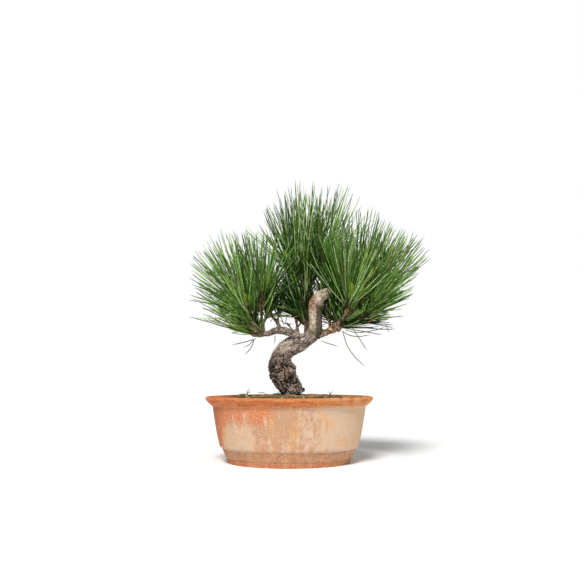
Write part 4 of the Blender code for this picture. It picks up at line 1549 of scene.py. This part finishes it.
@dataclass(frozen=True)
class Strays:
    """Single needles that the photograph shows apart from the masses, by their places in its picture."""

    hanging: tuple[tuple[Tint, float, tuple[tuple[float, float], ...]], ...] = (
        (Tint.MID, -4.0, ((342.5, 330.5), (347, 345), (355, 357), (364.5, 366))),
        (Tint.OLIVE, -2.0, ((352.5, 328), (359, 338), (367.4, 351))),
        (Tint.MID, 0.0, ((321, 340.8), (330, 344), (338.6, 346.4))),
        (Tint.DEEP, -18.0, ((254, 340), (251, 348), (244.5, 355))),
        (Tint.DEEP, -16.0, ((253.5, 340), (249, 345), (243, 348))),
        (Tint.DEAD, -10.0, ((275.2, 335.5), (275, 340), (274.6, 345))),
        (Tint.MID, -6.0, ((343, 331.5), (350, 335.5), (360, 336.5), (371, 334.5))),
        (Tint.MID, -10.0, ((345, 330), (358, 332.5), (376, 330), (386, 326.5))),
        (Tint.DEEP, -12.0, ((366, 328), (382, 329.2), (395.6, 329))),
        (Tint.MID, -12.0, ((386, 324), (387.5, 329), (389.8, 332.5))),
        (Tint.DEEP, -20.0, ((256, 338.5), (247, 341.5), (232, 345))),
        (Tint.DEEP, 2.0, ((280, 320), (285, 323.6), (294, 324))),
        (Tint.DEEP, 0.0, ((276, 313), (282, 319), (284, 326))),
        (Tint.OLIVE, 1.0, ((270, 322), (276, 316), (284, 313))),
        (Tint.DEEP, 3.0, ((292, 312), (287, 317), (285, 325))),
        (Tint.DEAD, 3.0, ((298, 316), (291, 318), (286, 316))),
        (Tint.DEAD, -24.0, ((259, 333), (256, 328), (251, 324))),
        (Tint.DEAD, -20.0, ((263, 331), (260, 325), (258, 319))),
        (Tint.OLIVE, -24.0, ((257, 334), (251, 331.5), (244, 330))),
        (Tint.DEAD, -18.0, ((339, 323), (342, 317), (347, 312))),
        (Tint.DEAD, -38.0, ((346, 319), (351, 313), (358, 308))),
        (Tint.DEAD, -46.0, ((364, 319), (371, 315), (379, 313))),
        (Tint.DEAD, -44.0, ((368, 322), (376, 318.5), (385, 317))),
        (Tint.DEAD, -44.0, ((383, 305), (386, 299), (390, 292))),
        (Tint.DEAD, -46.0, ((360, 305), (363, 299), (368, 293))),
        (Tint.DEAD, -46.0, ((243, 309), (241, 303), (238, 298))),
        (Tint.MID, -2.0, ((318, 331), (324, 329.5), (331, 329))),
        (Tint.OLIVE, -4.0, ((317, 333), (322, 332), (329, 332.5))),
        (Tint.DEAD, 2.0, ((333, 320), (329, 311), (326, 302))),
        (Tint.OLIVE, -28.0, ((282, 397), (279, 393), (275.5, 391.2))),
        (Tint.DEAD, -30.0, ((328.5, 397), (331, 393.5), (333.2, 390.2))),
        (Tint.DEAD, -30.0, ((329, 397), (330, 393), (328.2, 391))),
        (Tint.OLIVE, -32.0, ((246, 396), (248, 391), (250.5, 388))),
        (Tint.OLIVE, -32.0, ((245, 396), (248, 393), (252, 391.5))),
        (Tint.DEAD, -26.0, ((258, 393), (263, 392.6), (268, 395))),
    )

    def paths(self, foliage: Foliage, tint: Tint) -> list[np.ndarray]:
        """The strays of one tint.

        Args:
            foliage: Gives a needle's width and its taper.
            tint: The tint.

        Returns:
            Their paths as x, y, z and half width.
        """
        made = []
        for own, y, marks in self.hanging:
            if own is tint:
                points = [(*VIEW.place(across, down, y), foliage.half_width) for across, down in marks]
                path = smooth_path(points, 7.0)
                share = np.linspace(0, 1, len(path))
                path[:, 3] *= np.interp(share, foliage.steps, foliage.widths)
                made.append(path)
        return made


STRAYS = Strays()


# Pot and ground


@dataclass
class Pot:
    """The oval pot: foot, lower band, body and rolled lip, with two drain holes."""

    outside: tuple[tuple[float, float], ...] = (
        (85.0, 0.0), (87.0, 5.7), (86.7, 6.9), (89.0, 8.3), (93.6, 18.7), (93.8, 20.1), (97.8, 23.1),
        (102.2, 41.7), (106.6, 65.8), (108.2, 77.8), (110.6, 79.0), (115.6, 83.6), (119.0, 88.0),
        (118.2, 90.4), (116.0, 91.2),
    )
    inside: tuple[tuple[float, float], ...] = (
        (111.5, 91.2), (109.3, 88.8), (100.7, 75.8), (94.7, 41.7), (86.5, 13.0), (82.5, 9.0),
    )
    rounding: float = 1.6
    sides: int = 168
    row: float = 3.2
    unevenness: float = 0.45
    lip_wave: float = 0.35
    drain_step: int = 4
    drain_radius: float = 7.0
    drain_offset: float = 45.0
    drain_span: tuple[float, float] = (-5.0, 14.0)

    def profile(self) -> np.ndarray:
        """The section with its corners rounded and its long stretches divided."""
        corners = np.array(self.outside + self.inside)
        points = [corners[0]]
        for before, corner, after in zip(corners[:-2], corners[1:-1], corners[2:]):
            reach = [min(self.rounding, 0.45 * np.linalg.norm(end - corner)) for end in (before, after)]
            start = corner + reach[0] * unit(before - corner)
            end = corner + reach[1] * unit(after - corner)
            for t in (0.0, 0.33, 0.67, 1.0):
                points.append((1 - t) ** 2 * start + 2 * t * (1 - t) * corner + t**2 * end)
        points.append(corners[-1])
        divided = [points[0]]
        for a, b in zip(points[:-1], points[1:]):
            count = max(1, round(np.linalg.norm(b - a) / self.row))
            divided += [a + (b - a) * k / count for k in range(1, count + 1)]
        return np.array(divided)

    def build(self, material: bpy.types.Material) -> bpy.types.Object:
        """Makes the pot.

        Args:
            material: Its finish.

        Returns:
            The pot.
        """
        pot = mesh_object("terracotta_pot", *stacked([oval(w, z, self.sides) for w, z in self.profile()]))
        points = points_of(pot)
        noise = Noise(21)
        hand = noise.smooth(points, 38.0) + 0.4 * noise.smooth(points + 200, 11.0) - 0.7
        firm = smoothstep(0.0, 6.0, points[:, 2])
        firm *= smoothstep(20.0, 60.0, np.hypot(points[:, 0], points[:, 1]))
        points[:, :2] *= 1 + (self.unevenness * hand * firm / 100.0)[:, None]
        wave = self.lip_wave * (noise.smooth(points + 400, 55.0) - 0.5)
        points[:, 2] += wave * smoothstep(40.0, 80.0, points[:, 2])
        move_points(pot, points)
        angles = 2 * math.pi * np.arange(0, self.sides, self.drain_step) / self.sides
        for side in (-1, 1):
            ring = self.drain_radius * np.stack([np.cos(angles), np.sin(angles), 0 * angles], axis=1)
            ring = ring + [side * self.drain_offset, 0, 0]
            drain = mesh_object("drain", *stacked([ring + z * UP for z in self.drain_span]))
            cut = pot.modifiers.new("drain", "BOOLEAN")
            cut.operation, cut.solver, cut.object = "DIFFERENCE", "EXACT", drain
            settle(pot)
            bpy.data.objects.remove(drain)
        return finished(pot, material, "terracotta", ("pot",), smooth=38.0)


@dataclass
class Ground:
    """The soil with its loose grains, moss and fallen needles."""

    wall: tuple[tuple[float, float], ...] = ((82.0, 9.6), (86.1, 13.0), (94.3, 41.7), (100.3, 75.8))
    edge: tuple[float, float] = (106.0, 84.8)
    mound: tuple[tuple[float, float], ...] = (
        (0.97, 85.0), (0.9, 86.2), (0.83, 87.4), (0.76, 88.6), (0.69, 89.6), (0.62, 90.2), (0.5, 90.6),
        (0.4, 91.0), (0.3, 92.2), (0.2, 92.4), (0.1, 92.4), (0.02, 92.4),
    )
    lumps: tuple[tuple[float, float, float], ...] = ((1.5, 5.5, 5.0), (0.9, 8.5, -7.0))
    level_share: tuple[float, float] = (0.27, 0.38)
    unevenness: float = 1.4
    moss_swell: float = 0.9
    lump_share: float = 0.6
    sides: int = 144
    clump: tuple[float, float, float, float] = (-64.0, -30.0, 15.0, 4.5)
    grains: tuple[tuple[str, Colour, float], ...] = (
        ("brown_grains", (0.115, 0.072, 0.042), 52000.0),
        ("tan_grains", (0.30, 0.19, 0.105), 30000.0),
        ("pale_grains", (0.50, 0.42, 0.32), 9000.0),
    )
    moss_colours: tuple[tuple[str, Colour, float], ...] = (
        ("green_moss", (0.105, 0.120, 0.022), 480000.0),
        ("brown_moss", (0.26, 0.19, 0.070), 420000.0),
    )
    grain_sizes: tuple[float, float] = (1.0, 1.9)
    moss_sizes: tuple[float, float] = (0.8, 2.0)
    fallen: int = 26
    fallen_reach: float = 80.0
    fallen_lengths: tuple[float, float] = (24.0, 46.0)
    fallen_limit: float = 98.0

    def moss_share(self, points: np.ndarray) -> np.ndarray:
        """How mossy the ground is at each point, from 0 to 1."""
        noise = Noise(31)
        round_trunk = np.hypot((points[:, 0] - 4) / 60.0, (points[:, 1] + 8) / 46.0)
        patch = noise.layered(points, 22.0)
        clump_x, clump_y, clump_size, _ = self.clump
        away = np.hypot(points[:, 0] - clump_x, points[:, 1] - clump_y)
        share = smoothstep(0.42, 0.56, patch) * smoothstep(1.35, 0.75, round_trunk)
        return np.clip(share + smoothstep(clump_size, 0.4 * clump_size, away), 0, 1)

    def build(self, soil: bpy.types.Material, foliage: Foliage, sweep: NodeRule) -> None:
        """Makes the soil and all that lies on it.

        Args:
            soil: The soil's finish.
            foliage: Gives the width of a fallen needle.
            sweep: The tree that sweeps tubes.
        """
        width = self.edge[0]
        rings = [oval(*point, self.sides) for point in (*self.wall, self.edge)]
        first_free = len(rings) * self.sides
        rings += [oval(width * share, z, self.sides) for share, z in self.mound]
        obj = mesh_object("soil_bed", *stacked(rings))
        points = points_of(obj)
        noise = Noise(33)
        moss = self.moss_share(points)
        free = np.arange(len(points)) >= first_free
        rise = self.unevenness * (noise.layered(points, 14.0) - 0.62)
        rise += self.moss_swell * moss * noise.smooth(points + 50, 7.0)
        clump_x, clump_y, size, height = self.clump
        away = np.hypot(points[:, 0] - clump_x, points[:, 1] - clump_y)
        rise += height * smoothstep(size, 0.3 * size, away)
        x, y, _ = points.T
        waves = sum(
            height * np.sin(x / run_x + 1) * np.sin(y / run_y + 2) for height, run_x, run_y in self.lumps
        )
        rise += self.lump_share * waves * smoothstep(*self.level_share, np.hypot(x, y / PLAN_RATIO) / width)
        points[:, 2] += np.where(free, rise, 0.0)
        move_points(obj, points)
        set_attribute(obj, "moss", moss)
        finished(obj, soil, "soil", ("soil",))
        self._strew(obj, first_free, moss)
        self._drop_needles(obj, foliage, sweep)

    def _strew(self, bed: bpy.types.Object, first_free: int, moss: np.ndarray) -> None:
        """Puts grains and moss on the free top of the bed."""
        grain, tuft = scatter_rule("grain"), scatter_rule("tuft")
        top = (np.arange(len(moss)) >= first_free - self.sides).astype(float)
        jobs = [(grain, row, top * (1 - 0.7 * moss), self.grain_sizes, 0.9) for row in self.grains]
        jobs += [(tuft, row, top * moss, self.moss_sizes, 0.8) for row in self.moss_colours]
        for seed, (rule, (name, colour, density), cover, sizes, roughness) in enumerate(jobs):
            material = PlainGrowthFinish(name, colour, roughness, patch=6.0).material()
            obj = bpy.data.objects.new(name, bed.data.copy())
            bpy.context.scene.collection.objects.link(obj)
            set_attribute(obj, "cover", cover)
            rule.run(obj, Density=density, Smallest=sizes[0] * MM, Largest=sizes[1] * MM, Seed=seed + 40,
                     Material=material)
            finished(obj, material, "soil", smooth=None if rule is grain else 60.0)

    def _drop_needles(self, bed: bpy.types.Object, foliage: Foliage, sweep: NodeRule) -> None:
        """Lays dead needles on the ground, at rest on the soil."""
        random = np.random.default_rng(77)
        paths = []
        for _ in range(self.fallen):
            turn, reach = random.uniform(0, 2 * math.pi), self.fallen_reach * math.sqrt(random.random())
            middle = np.array([reach * math.cos(turn), reach * PLAN_RATIO * math.sin(turn)])
            way, length = random.uniform(0, math.pi), random.uniform(*self.fallen_lengths)
            curl = random.normal(0, 0.12)
            along = np.array([math.cos(way), math.sin(way)])
            across = np.array([-along[1], along[0]])
            t = np.linspace(-0.5, 0.5, 9)[:, None]
            plan = middle + length * (t * along + curl * t**2 * across)
            rows = []
            for x, y in plan:
                hit, place, _, _ = bed.ray_cast((x * MM, y * MM, 0.2), (0, 0, -1))
                rows.append((x, y, (place[2] / MM if hit else 92.0) + 1.5, 0.75 * foliage.half_width))
            path = np.array(rows)
            path[:, 2] = np.maximum(path[:, 2].mean() + 6 * t[:, 0] * random.normal(0, 0.4), path[:, 2])
            if (np.hypot(path[:, 0], path[:, 1] / PLAN_RATIO) < self.fallen_limit).all():
                paths.append(path)
        material = PlainGrowthFinish("fallen_needles", (0.36, 0.225, 0.10), 0.6).material()
        obj = sweep.run(chains("fallen_needles", paths), Sides=4, Width=1.0, Material=material)
        finished(obj, material, "soil", smooth=100.0)


# Studio


@dataclass(frozen=True)
class Studio:
    """A plain pale floor, soft light and a white surround."""

    floor_half: float = 3.2
    ambient: float = 0.32
    surround: float = 1.0
    key_power: float = 3.4
    key_softness: float = 18.0
    fill_power: float = 0.6
    key_place: tuple[float, float] = (53.0, -14.0)
    fill_place: tuple[float, float] = (18.0, 48.0)

    def build(self) -> None:
        """Makes the floor, the lights and the surround."""
        half = self.floor_half / MM
        corners = np.array([[-half, -half, 0], [half, -half, 0], [half, half, 0], [-half, half, 0]])
        floor = mesh_object("floor", corners, [(0, 1, 2, 3)])
        floor.data.materials.append(FloorFinish().material())
        self._sun("key", *self.key_place, self.key_power)
        self._sun("fill", *self.fill_place, self.fill_power)
        world = bpy.data.worlds.new("surround")
        world.use_nodes = True
        graph = Graph(world.node_tree)
        seen = graph.node("ShaderNodeLightPath", None)
        graph.give(world.node_tree.nodes["Background"].inputs["Strength"],
                   seen * (self.surround - self.ambient) + self.ambient)
        world.node_tree.nodes["Background"].inputs["Color"].default_value = (1.0, 1.0, 1.0, 1.0)
        bpy.context.scene.world = world
        bpy.context.scene.view_settings.view_transform = "Standard"

    def _sun(self, name: str, rise: float, turn: float, power: float) -> None:
        """One soft light from far off, at a height above level and a turn to the right of the front."""
        data = bpy.data.lights.new(name, "SUN")
        data.energy, data.angle = power, math.radians(self.key_softness)
        light = bpy.data.objects.new(name, data)
        light.rotation_euler = (math.radians(90 - rise), 0.0, math.radians(turn))
        bpy.context.scene.collection.objects.link(light)


def main() -> None:
    """Builds every piece, the studio and the camera."""
    logging.basicConfig(level=logging.INFO, format="%(message)s")
    sweep = sweep_rule()
    Pot().build(TerracottaFinish().material())
    foliage = Foliage()
    Ground().build(SoilFinish().material(), foliage, sweep)
    limbs = [TRUNK, *BOUGHS]
    Skin("bark", [smooth_path(limb.points, 1.5) for limb in limbs], BarkFinish().material(), "old_bark",
         tuple(limb.name for limb in limbs), 0.6, bark_relief, sides=32).build(sweep)
    Skin("cut_leader_bark", [smooth_path(CUT_LEADER.points, 1.5)], GreyWoodFinish().material(), "grey_wood",
         ("cut_leader",), 0.5, leader_relief, sides=32, seed=9).build(sweep)
    finishes = {
        tint: PlainGrowthFinish(tint.piece, tint.value, 0.36, swing=0.45, patch=10.0, gloss=0.15).material()
        for tint in Tint
    }
    sheath = PlainGrowthFinish("sheath", (0.16, 0.105, 0.05), 0.7).material()
    foliage.build(sweep, finishes, TwigFinish().material(), sheath)
    Studio().build()
    VIEW.camera()
    bpy.context.view_layer.update()


if __name__ == "__main__":
    main()
